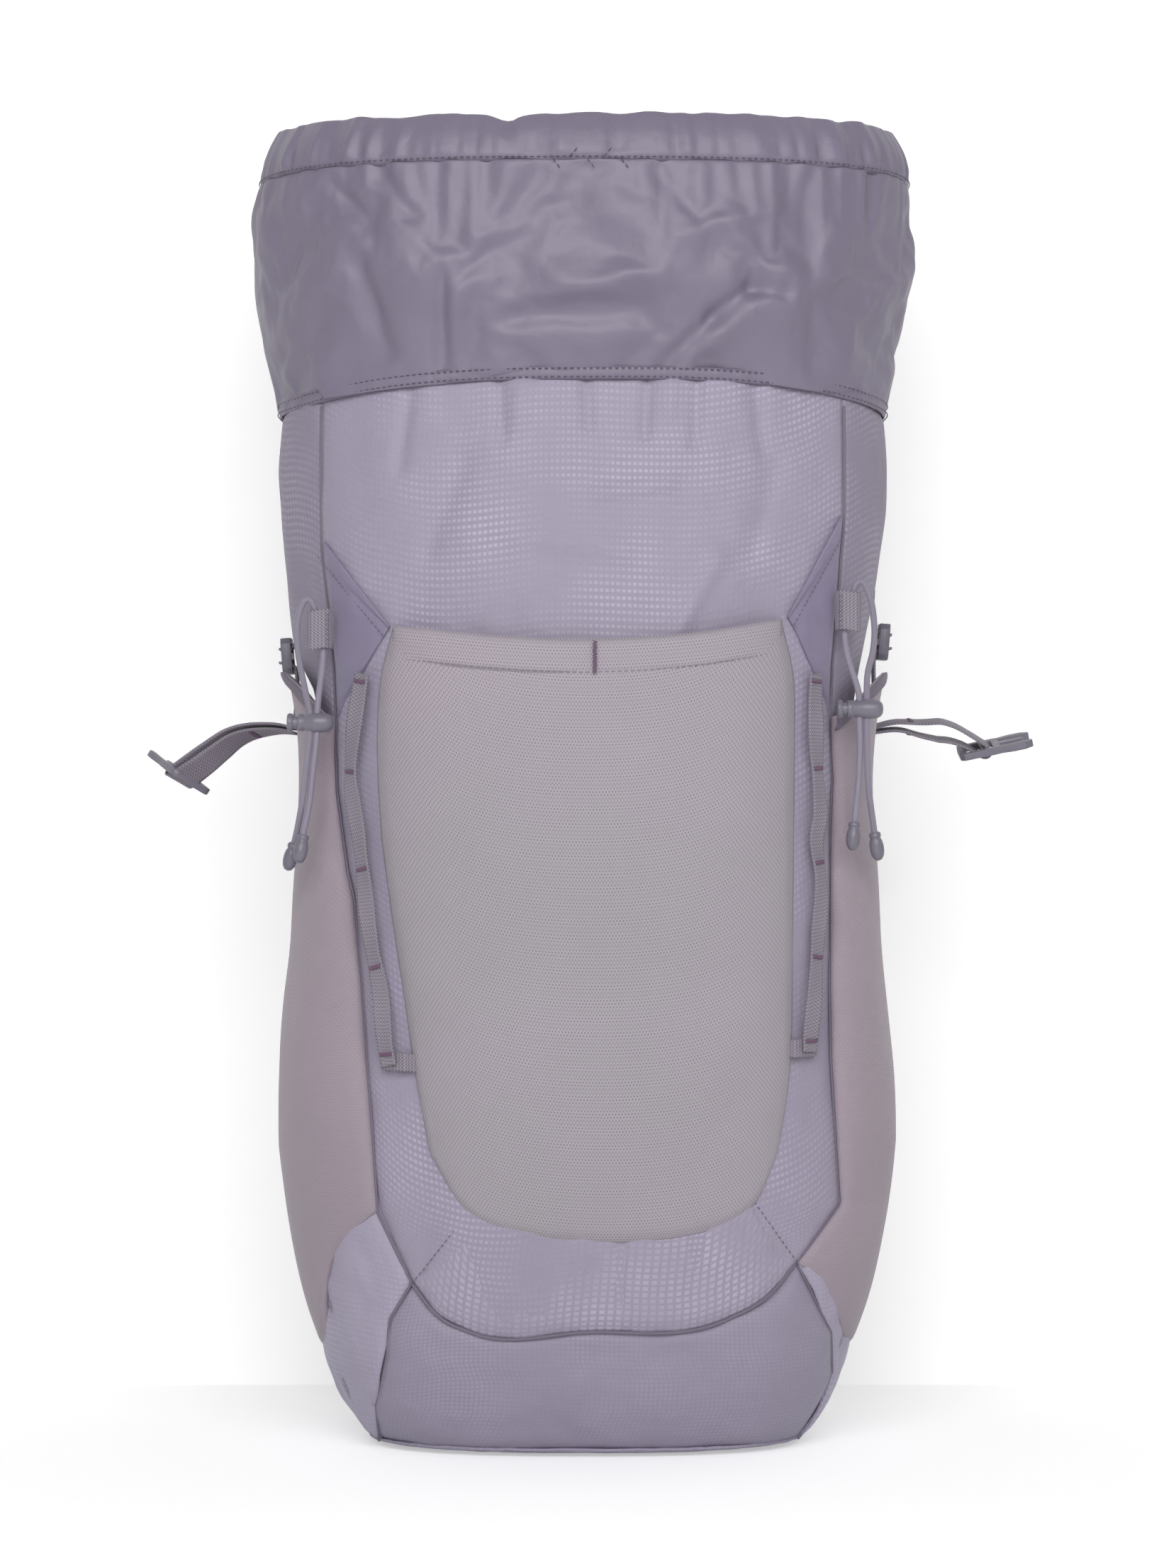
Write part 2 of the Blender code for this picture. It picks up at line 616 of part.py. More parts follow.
# The strap's middle line from the back seam to the buckle's bar, the directions across it, half the
# distance between its two layers, and the buckle's length and width directions.
STRAPS = {
    "left": {
        "line": ((-0.1448, 0.045, 0.3464), (-0.1545, 0.044, 0.3478), (-0.1670, 0.042, 0.3466),
                 (-0.1762, 0.040, 0.3432), (-0.1845, 0.038, 0.3370), (-0.1920, 0.036, 0.3310),
                 (-0.2010, 0.035, 0.3240)),
        "across": ((0.10, 0.98, -0.05), (0.15, 0.95, -0.10), (0.40, 0.82, -0.30), (0.72, 0.55, -0.45)),
        "spread": ((0.0, 0.0011), (0.4, 0.0016), (0.8, 0.0029), (1.0, 0.0029)),
        "length": (-0.45, 0.84, 0.30),
        "width": (0.72, 0.55, -0.45),
    },
    "right": {
        "line": ((0.1420, 0.045, 0.3470), (0.1550, 0.043, 0.3492), (0.1680, 0.041, 0.3475),
                 (0.1795, 0.0378, 0.3462), (0.1885, 0.0372, 0.3428), (0.1975, 0.037, 0.3375)),
        "across": ((-0.02, 0.99, 0.10), (0.0, 0.98, 0.16), (-0.01, 0.98, 0.20), (-0.012, 0.98, 0.205)),
        "spread": ((0.0, 0.0011), (0.3, 0.0022), (0.6, 0.0046), (0.84, 0.0031), (1.0, 0.0029)),
        "length": (0.97, -0.03, 0.20),
        "width": (-0.012, 0.98, 0.205),
    },
}
BUCKLE_OUTLINE = (
    (-0.0120, 0.0), (-0.0120, 0.0095), (-0.0100, 0.0118), (0.0060, 0.0118), (0.0085, 0.0112),
    (0.0150, 0.0130), (0.0205, 0.0128), (0.0245, 0.0098), (0.0245, 0.0078), (0.0215, 0.0074),
    (0.0140, 0.0082), (0.0085, 0.0072), (0.0085, 0.0024), (0.0200, 0.0020), (0.0210, 0.0),
)
BUCKLE_WINDOWS = ((-0.0085, -0.0083, -0.0012, 0.0083), (0.0012, -0.0083, 0.0050, 0.0083))


LOOP_REACH = 0.0036  # how far the webbing goes past the middle of the bar


def build_compression_straps() -> None:
    """Doubled webbing that loops round the buckle's bar, and the male half of the buckle."""
    outline = [*BUCKLE_OUTLINE, *[(x, -y) for x, y in reversed(BUCKLE_OUTLINE[1:-1])]]
    for word, strap in STRAPS.items():
        count = 15
        line = smooth_route(strap["line"], count)
        across = [w.normalized() for w in smooth_route(strap["across"], count)]
        upper, lower = [], []
        for k, (point, wide) in enumerate(zip(line, across)):
            ahead = line[min(k + 1, count - 1)] - line[max(k - 1, 0)]
            normal = wide.cross(ahead).normalized()
            normal = normal if normal.z > 0 else -normal
            half = smooth_value(k / (count - 1), strap["spread"], 1)
            upper.append(point + normal * half)
            lower.append(point - normal * half)
        ahead = (line[-1] - line[-2]).normalized()
        nose = [
            line[-1] + math.cos(a) * (upper[-1] - line[-1]) + math.sin(a) * ahead * LOOP_REACH
            for a in (math.pi / 4, math.pi / 2, 3 * math.pi / 4)
        ]
        route = [*upper, *nose, *reversed(lower)]
        sides = [*across, *[across[-1]] * 3, *reversed(across)]

        def place(u: float, v: float) -> Vector:
            step = round(u * (len(route) - 1))
            return route[step] + sides[step] * STRAP_WIDTH * (v - 0.5)

        webbing = sheet(
            f"compression_strap_{word}", place, len(route) - 1, 1, STRAP_THICKNESS, "webbing", offset=0.0
        )
        move_origin(webbing, line[0])
        frame = axes_matrix(line[-1], strap["length"], strap["width"])
        plate(f"strap_buckle_{word}", outline, BUCKLE_THICKNESS, BUCKLE_WINDOWS, frame, "moulding")


SLIDERS = {"left": (-0.1495, 0.045, 0.3838), "right": (0.1485, 0.045, 0.3910)}
SLIDER_OUTLINE = ((-0.0090, -0.0085), (-0.0062, -0.0110), (0.0062, -0.0110), (0.0090, -0.0085),
                  (0.0090, 0.0085), (0.0062, 0.0110), (-0.0062, 0.0110), (-0.0090, 0.0085))
SLIDER_WINDOWS = ((-0.0062, -0.0083, -0.0015, 0.0083), (0.0015, -0.0083, 0.0062, 0.0083))


# Routes of the webbing through the two windows: distance inwards from the slider and height above it.
LADDER_BELOW = ((0.0035, -0.0330), (0.0046, -0.0200), (0.0046, -0.0085),
                (0.0030, -0.0046), (0.0, -0.0038), (-0.0040, -0.0032))
LADDER_ABOVE = ((0.0050, 0.0260), (0.0054, 0.0160), (0.0046, 0.0090),
                (0.0030, 0.0048), (0.0, 0.0040), (-0.0040, 0.0034))


def build_sliders() -> None:
    """Ladder locks at the back seams, with the webbing above and below them."""
    for word, place in SLIDERS.items():
        out = 1 if place[0] > 0 else -1
        x, y, z = place
        frame = axes_matrix(place, (out * 0.08, 0, 1), (0, 1, 0))
        plate(f"ladder_lock_{word}", SLIDER_OUTLINE, 0.0050, SLIDER_WINDOWS, frame, "moulding")
        below = [(x - out * a, y, z + b) for a, b in LADDER_BELOW]
        above = [(x - out * a, y, z + b) for a, b in LADDER_ABOVE]
        wide = [(0, out, 0)] * 2
        ribbon(f"ladder_strap_{word}", below, wide, STRAP_WIDTH, STRAP_THICKNESS, "webbing", 10)
        ribbon(f"ladder_tab_{word}", above, wide, STRAP_WIDTH, STRAP_THICKNESS, "webbing", 8)


# --- Back ----------------------------------------------------------------------------------------

SHOULDER_LINE = ((0.058, 0.0850, 0.487), (0.060, 0.0980, 0.468), (0.063, 0.1120, 0.438),
                 (0.067, 0.1240, 0.400), (0.073, 0.1320, 0.345), (0.080, 0.1300, 0.285),
                 (0.087, 0.1200, 0.235), (0.092, 0.1090, 0.195))
SHOULDER_WIDTH = 0.056
SHOULDER_THICKNESS = 0.009
SHOULDER_LOCK = (0.0925, 0.1045, 0.178)
LOWER_LINE = ((0.0925, 0.1085, 0.1731), (0.0925, 0.1036, 0.1743), (0.0928, 0.0990, 0.1750),
              (0.0932, 0.0965, 0.1715), (0.0945, 0.0957, 0.1600), (0.1000, 0.0945, 0.1400),
              (0.1070, 0.0925, 0.0980), (0.1130, 0.0885, 0.0600), (0.1145, 0.0845, 0.0420))
ANCHOR_LINE = ((0.0960, 0.0722, 0.0300), (0.1060, 0.0745, 0.0310), (0.1180, 0.0795, 0.0330))


def mirrored(points, side: int) -> list:
    """The points of the right-hand side, or their mirror image."""
    return [(side * x, y, z) for x, y, z in points]


def build_shoulder_straps() -> None:
    """Padded straps, the ladder locks at their ends, the lower webbing and its anchors."""
    for side, word in ((-1, "left"), (1, "right")):
        wide = [(side, 0, 0)] * 2
        upper = mirrored(SHOULDER_LINE, side)
        lower = mirrored(LOWER_LINE, side)
        anchor = mirrored(ANCHOR_LINE, side)
        ribbon(f"shoulder_strap_{word}", upper, wide, SHOULDER_WIDTH, SHOULDER_THICKNESS, "foam", 14, 2)
        frame = axes_matrix((side * SHOULDER_LOCK[0], *SHOULDER_LOCK[1:]), (0, 0.25, 1), (side, 0, 0))
        outline = [(a, b * 1.25) for a, b in SLIDER_OUTLINE]
        windows = [(a, b * 1.25, c, d * 1.25) for a, b, c, d in SLIDER_WINDOWS]
        plate(f"shoulder_lock_{word}", outline, 0.0050, windows, frame, "moulding")
        ribbon(f"lower_strap_{word}", lower, wide, LOWER_WIDTH, STRAP_THICKNESS, "webbing", 14)
        ribbon(f"strap_anchor_{word}", anchor, [(0, 0, side)] * 2, 0.024, 0.002, "mesh", 6)


HAUL_PIVOT = (0.0, 0.0885, 0.489)
STERNUM_Y = 0.1385
STERNUM_Z = 0.345


def build_haul_loop() -> None:
    """Carrying loop behind the collar. It folds back about the line through its two ends."""
    arch = [(-0.022, 0.0885, 0.489), (-0.0215, 0.0885, 0.502), (-0.015, 0.0888, 0.517), (0.0, 0.089, 0.523),
            (0.015, 0.0888, 0.517), (0.0215, 0.0885, 0.502), (0.022, 0.0885, 0.489)]
    loop = ribbon("haul_loop", arch, [(0, -1, 0)] * 2, 0.013, 0.0016, "webbing", 18)
    move_origin(loop, HAUL_PIVOT)


def build_sternum_strap() -> None:
    """Chest strap across the shoulder straps, which slides up and down them."""
    for side, word in ((-1, "left"), (1, "right")):
        points = [(side * x, STERNUM_Y, STERNUM_Z) for x in (0.092, 0.055, 0.0215)]
        wide = [(0, 0, side)] * 2
        strap = ribbon(f"sternum_strap_{word}", points, wide, CHEST_WIDTH, STRAP_THICKNESS, "webbing", 6)
        move_origin(strap, (0, STERNUM_Y, STERNUM_Z))
    body = ((-0.0205, -0.0130), (-0.0008, -0.0130), (-0.0008, 0.0130), (-0.0205, 0.0130))
    nose = ((0.0, -0.0110), (0.0030, -0.0130), (0.0205, -0.0130),
            (0.0205, 0.0130), (0.0030, 0.0130), (0.0, 0.0110))
    frame = axes_matrix((0, STERNUM_Y, STERNUM_Z), (1, 0, 0), (0, 0, 1))
    plate("sternum_buckle_female", body, 0.008, (), frame, "moulding")
    plate("sternum_buckle_male", nose, 0.006, (), frame, "moulding")


def main() -> None:
    clear_scene()
    build_front_panels()
    build_side_panels()
    build_back_and_base()
    build_collar()
    build_wings()
    build_front_pocket()
    build_side_pockets()
    build_daisy_chains()
    build_keepers()
    build_cords()
    build_cord_locks()
    build_compression_straps()
    build_sliders()
    build_shoulder_straps()
    build_haul_loop()
    build_sternum_strap()


main()
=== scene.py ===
"""Looks of a daypack with a raised extension collar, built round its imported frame."""

import logging
import math
from dataclasses import dataclass
from enum import Enum
from typing import Callable, Optional, Sequence

import bmesh
import bpy
import numpy as np
from mathutils import Matrix, Vector, noise


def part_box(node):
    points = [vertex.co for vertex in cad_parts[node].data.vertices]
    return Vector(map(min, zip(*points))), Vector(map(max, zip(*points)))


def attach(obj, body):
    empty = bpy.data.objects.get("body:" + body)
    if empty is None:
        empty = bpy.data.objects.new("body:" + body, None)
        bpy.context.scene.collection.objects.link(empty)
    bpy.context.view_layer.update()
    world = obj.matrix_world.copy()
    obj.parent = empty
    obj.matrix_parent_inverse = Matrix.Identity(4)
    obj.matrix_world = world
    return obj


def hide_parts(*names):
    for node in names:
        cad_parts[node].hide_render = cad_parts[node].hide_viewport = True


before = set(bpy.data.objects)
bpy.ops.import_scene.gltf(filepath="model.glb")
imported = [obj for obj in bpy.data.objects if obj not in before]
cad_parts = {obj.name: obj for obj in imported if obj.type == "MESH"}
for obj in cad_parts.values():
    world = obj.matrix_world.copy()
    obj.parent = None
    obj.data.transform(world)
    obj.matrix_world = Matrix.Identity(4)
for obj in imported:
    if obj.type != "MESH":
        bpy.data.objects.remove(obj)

LOG = logging.getLogger("daypack")
Array = np.ndarray
Place = Callable[[Array, Array], Array]
Obj = bpy.types.Object
Sock = bpy.types.NodeSocket


class Side(Enum):
    """The bag's two sides, as seen from its front."""

    LEFT = -1
    RIGHT = 1

    @property
    def word(self) -> str:
        """The side's name in piece names."""
        return self.name.lower()


# --- Numbers along curves ------------------------------------------------------------------------


def curve_at(at: Array, stations: Sequence[Sequence[float]], column: int = 1) -> Array:
    """Smooth cubic values through rows of (position, value, ...).

    Args:
        at: positions to read at.
        stations: the rows, in rising position.
        column: which value of a row is read.

    Returns:
        One value for each position.
    """
    places = np.array([row[0] for row in stations], float)
    values = np.array([row[column] for row in stations], float)
    slopes = np.gradient(values, places)
    i = np.clip(np.searchsorted(places, at) - 1, 0, len(places) - 2)
    span = places[i + 1] - places[i]
    t = np.clip((at - places[i]) / span, 0.0, 1.0)
    start = (2 * t**3 - 3 * t**2 + 1) * values[i] + (t**3 - 2 * t**2 + t) * span * slopes[i]
    return start + (3 * t**2 - 2 * t**3) * values[i + 1] + (t**3 - t**2) * span * slopes[i + 1]


def line_at(at: Array, stations: Sequence[Sequence[float]]) -> Array:
    """Straight interpolation through rows of (position, value), so that corners stay sharp."""
    return np.interp(at, [row[0] for row in stations], [row[1] for row in stations])


def smooth_route(points: Sequence[Sequence[float]], count: int) -> Array:
    """Points spread evenly along a smooth curve through the given points.

    Args:
        points: the points that the curve passes.
        count: how many points come back.

    Returns:
        The points as rows.
    """
    given = np.array(points, float)
    ends = np.vstack([2 * given[0] - given[1], given, 2 * given[-1] - given[-2]])
    fine = []
    for a, b, c, d in zip(ends, ends[1:], ends[2:], ends[3:]):
        for t in np.linspace(0, 1, 16, endpoint=False):
            bend = (2 * a - 5 * b + 4 * c - d) * t**2 + (3 * b - a - 3 * c + d) * t**3
            fine.append(0.5 * (2 * b + (c - a) * t + bend))
    fine.append(given[-1])
    table = np.array(fine)
    along = np.concatenate([[0], np.cumsum(np.linalg.norm(np.diff(table, axis=0), axis=1))])
    wanted = np.linspace(0, along[-1], count)
    return np.stack([np.interp(wanted, along, table[:, k]) for k in range(table.shape[1])], axis=1)


def route_length(points: Array) -> float:
    """Length of a polyline."""
    return float(np.linalg.norm(np.diff(points, axis=0), axis=1).sum())


def unit(rows: Array) -> Array:
    """Rows scaled to length one."""
    return rows / np.maximum(np.linalg.norm(rows, axis=-1, keepdims=True), 1e-12)


def crumple(points: Array, scale: Sequence[float], seed: float = 0.0, octaves: int = 3) -> Array:
    """Smooth noise from about -1 to 1 at each point.

    Args:
        points: places, as rows.
        scale: features per metre along each axis.
        seed: shifts the pattern.
        octaves: layers of detail.

    Returns:
        One value for each point.
    """
    total = np.zeros(len(points))
    reach = 1.0
    factors = np.array(scale, float)
    for layer in range(octaves):
        spots = points * factors * 2**layer + seed + 17.3 * layer
        total += reach * np.array([noise.noise(Vector(s)) for s in spots])
        reach *= 0.5
    return total * 1.4


# --- The bag's form ------------------------------------------------------------------------------


@dataclass(frozen=True)
class Crease:
    """A soft fold of the fabric along a line on the bag's front.

    The height is negative for a valley. A step has its fabric raised on the line's left.
    """

    x0: float
    z0: float
    x1: float
    z1: float
    width: float
    height: float
    step: bool = False

    def rise(self, x: Array, z: Array) -> Array:
        """How far the fold lifts the fabric at each place."""
        along = np.array([self.x1 - self.x0, self.z1 - self.z0])
        length = float(np.linalg.norm(along))
        along = along / length
        t = (x - self.x0) * along[0] + (z - self.z0) * along[1]
        across = -(x - self.x0) * along[1] + (z - self.z0) * along[0]
        beyond = np.maximum(np.maximum(-t, t - length), 0.0)
        taper = np.exp(-((beyond / (1.2 * self.width)) ** 2))
        if self.step:
            flank = np.exp(-((across / (4.5 * self.width)) ** 2))
            return self.height * np.tanh(across / self.width) * taper * flank
        return self.height * np.exp(-((across / self.width) ** 2)) * taper


def folds(creases: Sequence[Crease], x: Array, z: Array) -> Array:
    """The sum of several folds at each place."""
    total = np.zeros_like(x)
    for crease in creases:
        total += crease.rise(x, z)
    return total


@dataclass(frozen=True)
class Shell:
    """The bag's outer form: rows of height, half width, depth in front and depth behind."""

    sections: tuple = (
        (0.000, 0.104, 0.060, 0.058), (0.020, 0.117, 0.070, 0.066), (0.060, 0.129, 0.083, 0.074),
        (0.110, 0.136, 0.092, 0.078), (0.170, 0.137, 0.097, 0.080), (0.250, 0.131, 0.097, 0.080),
        (0.340, 0.128, 0.092, 0.080), (0.420, 0.141, 0.087, 0.078), (0.470, 0.146, 0.083, 0.076),
        (0.505, 0.145, 0.081, 0.075), (0.535, 0.149, 0.085, 0.078), (0.560, 0.155, 0.090, 0.082),
        (0.590, 0.157, 0.092, 0.084), (0.615, 0.156, 0.090, 0.082), (0.638, 0.150, 0.084, 0.076),
    )
    left_fullness: tuple = (
        (0.366, 0.0), (0.384, 0.0055), (0.42, 0.005), (0.445, 0.0055), (0.47, 0.005), (0.51, 0.003),
        (0.55, 0.004), (0.595, 0.0035), (0.62, 0.001), (0.638, 0.002),
    )
    front_power: float = 2.6
    back_power: float = 4.5
    rim: float = 0.638

    def front(self, x: Array, z: Array, lift: Array | float = 0.0) -> Array:
        """Points on the bag's front by distance from the middle and height."""
        half = curve_at(z, self.sections, 1) + lift
        depth = curve_at(z, self.sections, 2) + lift
        ratio = np.minimum(np.abs(x) / half, 1.0)
        y = -depth * (1 - ratio**self.front_power) ** (1 / self.front_power)
        return np.stack([x, y, z], axis=-1)

    def wall(self, turn: Array, z: Array, lift: Array | float = 0.0) -> Array:
        """Points all round the bag by turn: 0 is the front, a quarter turn is +X."""
        half = curve_at(z, self.sections, 1) + lift
        ahead = np.cos(turn) >= 0
        power = np.where(ahead, self.front_power, self.back_power)
        depth = np.where(ahead, curve_at(z, self.sections, 2), curve_at(z, self.sections, 3)) + lift
        x = half * np.sign(np.sin(turn)) * np.abs(np.sin(turn)) ** (2 / power)
        around = np.clip((np.abs(turn) - 1.05) / 0.40, 0, 1) * np.clip((2.7 - np.abs(turn)) / 0.5, 0, 1)
        full = around * around * (3 - 2 * around) * np.where(turn < 0, -1.0, 0.0)
        x = x + full * line_at(z, self.left_fullness)
        y = -depth * np.sign(np.cos(turn)) * np.abs(np.cos(turn)) ** (2 / power)
        return np.stack([x, y, z], axis=-1)

    def turn_of(self, x: Array, z: Array) -> Array:
        """The turn at which the front surface has this distance from the middle."""
        ratio = np.minimum(np.abs(x) / curve_at(z, self.sections, 1), 1.0)
        return np.sign(x) * np.arcsin(ratio ** (self.front_power / 2))


SHELL = Shell()
BACK_SEAM = math.pi - math.asin(0.96 ** (SHELL.back_power / 2))

# Front seams by height: straight runs with real corners at the boot.
FRONT_SEAM = {
    Side.LEFT: (
        (0.000, 0.1000), (0.0226, 0.1005), (0.0303, 0.0986), (0.0485, 0.0948), (0.0667, 0.0929),
        (0.0849, 0.0823), (0.1184, 0.0986), (0.150, 0.1005), (0.190, 0.1035), (0.2256, 0.1060),
        (0.2419, 0.1077), (0.2651, 0.1102), (0.2789, 0.1137), (0.2961, 0.1163), (0.315, 0.1193),
        (0.3347, 0.1201), (0.3468, 0.1197), (0.375, 0.1205), (0.400, 0.1225), (0.433, 0.1262),
        (0.470, 0.1265), (0.512, 0.1265),
    ),
    Side.RIGHT: (
        (0.000, 0.1180), (0.030, 0.1190), (0.0575, 0.1170), (0.069, 0.1115), (0.0797, 0.1067),
        (0.0935, 0.0995), (0.1203, 0.1206), (0.150, 0.1185), (0.190, 0.1160), (0.2216, 0.1155),
        (0.2618, 0.1155), (0.2961, 0.1163), (0.3219, 0.1176), (0.3348, 0.1167), (0.3451, 0.1163),
        (0.375, 0.1170), (0.400, 0.1190), (0.445, 0.1225), (0.470, 0.1228), (0.512, 0.1228),
    ),
}


def seam_x(side: Side, z: Array) -> Array:
    """Distance of the front seam from the middle, with its sign, at each height."""
    reach = np.minimum(line_at(z, FRONT_SEAM[side]), 0.965 * curve_at(np.asarray(z), SHELL.sections, 1))
    return side.value * reach


def collar_foot(turn: Array) -> Array:
    """Height of the seam under the collar, which arches up over the front."""
    ahead = np.maximum(np.cos(turn), 0.0)
    return 0.5000 + 0.0118 * ahead**2 + 0.0022 * ahead * np.maximum(np.sin(turn), 0.0)


def hem_foot(turn: Array) -> Array:
    """Height of the stitch line under the drawcord channel."""
    return 0.6108 + 0.0018 * np.maximum(np.cos(turn), 0.0)


# --- Making meshes -------------------------------------------------------------------------------


class MeshMaker:
    """Builds pieces from grids that are laid on a form, with their cloth lengths as UV."""

    @staticmethod
    def grid(name: str, place: Place, columns: int, rows: int, closed: bool = False) -> Obj:
        """A grid laid on a form.

        Args:
            name: the piece's name.
            place: gives points from shares across and up.
            columns: cells across.
            rows: cells up.
            closed: whether the first and last columns, and any pole, are merged.

        Returns:
            The new object, with a UV map in metres of cloth.
        """
        maker = bmesh.new()
        bmesh.ops.create_grid(maker, x_segments=columns, y_segments=rows, size=0.5)
        flat = np.array([v.co for v in maker.verts])
        i = np.rint((flat[:, 0] + 0.5) * columns).astype(int)
        j = np.rint((flat[:, 1] + 0.5) * rows).astype(int)
        spots = place(i / columns, j / rows)
        table = np.zeros((rows + 1, columns + 1, 3))
        table[j, i] = spots
        wide = np.zeros((rows + 1, columns + 1))
        wide[:, 1:] = np.cumsum(np.linalg.norm(np.diff(table, axis=1), axis=2), axis=1)
        wide -= wide[:, columns // 2][:, None]
        tall = np.zeros((rows + 1, columns + 1))
        tall[1:] = np.cumsum(np.linalg.norm(np.diff(table, axis=0), axis=2), axis=0)
        layer = maker.loops.layers.uv.new("Cloth")
        for vert, spot in zip(maker.verts, spots):
            vert.co = spot
        for face in maker.faces:
            for loop in face.loops:
                k = loop.vert.index
                loop[layer].uv = (wide[j[k], i[k]], tall[j[k], i[k]])
        if closed:
            bmesh.ops.remove_doubles(maker, verts=maker.verts, dist=2e-6)
            bmesh.ops.dissolve_degenerate(maker, edges=maker.edges, dist=1e-7)
        return MeshMaker.keep(name, maker)

    @staticmethod
    def keep(name: str, maker: bmesh.types.BMesh) -> Obj:
        """Turns a bmesh into a smooth-shaded object."""
        mesh = bpy.data.meshes.new(name)
        maker.normal_update()
        maker.to_mesh(mesh)
        maker.free()
        obj = bpy.data.objects.new(name, mesh)
        bpy.context.scene.collection.objects.link(obj)
        mesh.shade_smooth()
        return obj

    @staticmethod
    def face_out(obj: Obj) -> Obj:
        """Turns an open sheet on the bag so that its faces look away from the bag's middle."""
        mesh = obj.data
        spots = np.array([p.center for p in mesh.polygons])
        ways = np.array([p.normal for p in mesh.polygons])
        if (spots[:, :2] * ways[:, :2]).sum() < 0:
            mesh.flip_normals()
        return obj

    @staticmethod
    def recalculated(obj: Obj) -> Obj:
        """Turns a closed piece's faces outwards."""
        maker = bmesh.new()
        maker.from_mesh(obj.data)
        bmesh.ops.recalc_face_normals(maker, faces=maker.faces)
        maker.to_mesh(obj.data)
        maker.free()
        return obj

    @staticmethod
    def thick(obj: Obj, thickness: float, offset: float = -1.0) -> Obj:
        """Gives a sheet its thickness."""
        wall = obj.modifiers.new("Thickness", "SOLIDIFY")
        wall.thickness = thickness
        wall.offset = offset
        return obj

    @staticmethod
    def refined(obj: Obj, levels: int = 1) -> Obj:
        """Adds a subdivision surface."""
        smooth = obj.modifiers.new("Smooth", "SUBSURF")
        smooth.levels = levels
        smooth.render_levels = levels
        return obj

    @staticmethod
    def bevelled(obj: Obj, width: float, segments: int = 2) -> Obj:
        """Rounds the sharp edges of a moulding."""
        round_off = obj.modifiers.new("Rounded", "BEVEL")
        round_off.width = width
        round_off.segments = segments
        round_off.limit_method = "ANGLE"
        round_off.angle_limit = math.radians(35)
        return obj

    @staticmethod
    def strip(name: str, line: Array, wide: Array, width: float, thickness: float, rows: int = 6,
              crown: float = 0.0) -> Obj:
        """A flat strap along points that are already close together.

        Args:
            name: the piece's name.
            line: the points of its middle.
            wide: the direction across it at each point.
            width: the strap's width.
            thickness: its thickness.
            rows: cells across.
            crown: how far its middle stands above its edges.

        Returns:
            The closed strap, with UV along and across it in metres.
        """
        columns = len(line) - 1
        ahead = unit(np.gradient(line, axis=0))
        normal = unit(np.cross(wide, ahead))

        def place(u: Array, v: Array) -> Array:
            k = np.rint(u * columns).astype(int)
            rise = crown * (1 - (2 * v - 1) ** 2)
            return line[k] + wide[k] * (width * (v - 0.5))[:, None] + normal[k] * rise[:, None]

        return MeshMaker.thick(MeshMaker.grid(name, place, columns, rows), thickness, 0.0)

    @staticmethod
    def ribbon(name: str, points: Sequence, across: Sequence, width: float, thickness: float,
               columns: int = 60, rows: int = 6, crown: float = 0.0) -> Obj:
        """A flat strap along a smooth route through a few points, with the directions across it."""
        line = smooth_route(points, columns + 1)
        wide = unit(smooth_route(across, columns + 1))
        return MeshMaker.strip(name, line, wide, width, thickness, rows, crown)

    @staticmethod
    def tube(name: str, line: Array, radius: Array | float, sides: int = 14) -> Obj:
        """A round piece along a line, closed to a point at both ends.

        Args:
            name: the piece's name.
            line: the points of its middle.
            radius: its radius at each point.
            sides: cells round it.

        Returns:
            The closed tube.
        """
        rows = len(line) + 1
        middle = np.vstack([line[0], line, line[-1]])
        reach = np.concatenate([[0.0], np.broadcast_to(radius, (len(line),)), [0.0]])
        ahead = unit(np.gradient(line, axis=0))
        ahead = np.vstack([ahead[0], ahead, ahead[-1]])
        hint = np.array([0.0, 1.0, 0.0]) if abs(ahead[0][1]) < 0.9 else np.array([1.0, 0.0, 0.0])
        side = unit(np.cross(ahead, hint))
        other = np.cross(ahead, side)

        def place(u: Array, v: Array) -> Array:
            k = np.rint(v * rows).astype(int)
            a = math.tau * u
            ring = side[k] * np.cos(a)[:, None] + other[k] * np.sin(a)[:, None]
            return middle[k] + ring * reach[k][:, None]

        return MeshMaker.recalculated(MeshMaker.grid(name, place, sides, rows, closed=True))

    @staticmethod
    def turned(name: str, profile: Sequence[Sequence[float]], matrix: Matrix, steps: int = 40) -> Obj:
        """A turned piece from (radius, height) points on its own Z axis, set in place."""
        maker = bmesh.new()
        verts = [maker.verts.new((r, 0, h)) for r, h in profile]
        edges = [maker.edges.new(pair) for pair in zip(verts, verts[1:])]
        bmesh.ops.spin(
            maker, geom=[*verts, *edges], angle=math.tau, steps=steps, axis=(0, 0, 1),
            cent=(0, 0, 0), use_merge=True,
        )
        bmesh.ops.remove_doubles(maker, verts=maker.verts, dist=1e-6)
        bmesh.ops.recalc_face_normals(maker, faces=maker.faces)
        bmesh.ops.transform(maker, matrix=matrix, verts=maker.verts)
        obj = MeshMaker.keep(name, maker)
        obj.data.set_sharp_from_angle(angle=math.radians(38))
        return obj


def along(origin: Sequence[float], way: Sequence[float]) -> Matrix:
    """A place whose own Z axis points along a direction."""
    turn = Vector(way).to_track_quat("Z", "Y").to_matrix().to_4x4()
    return Matrix.Translation(Vector(origin)) @ turn


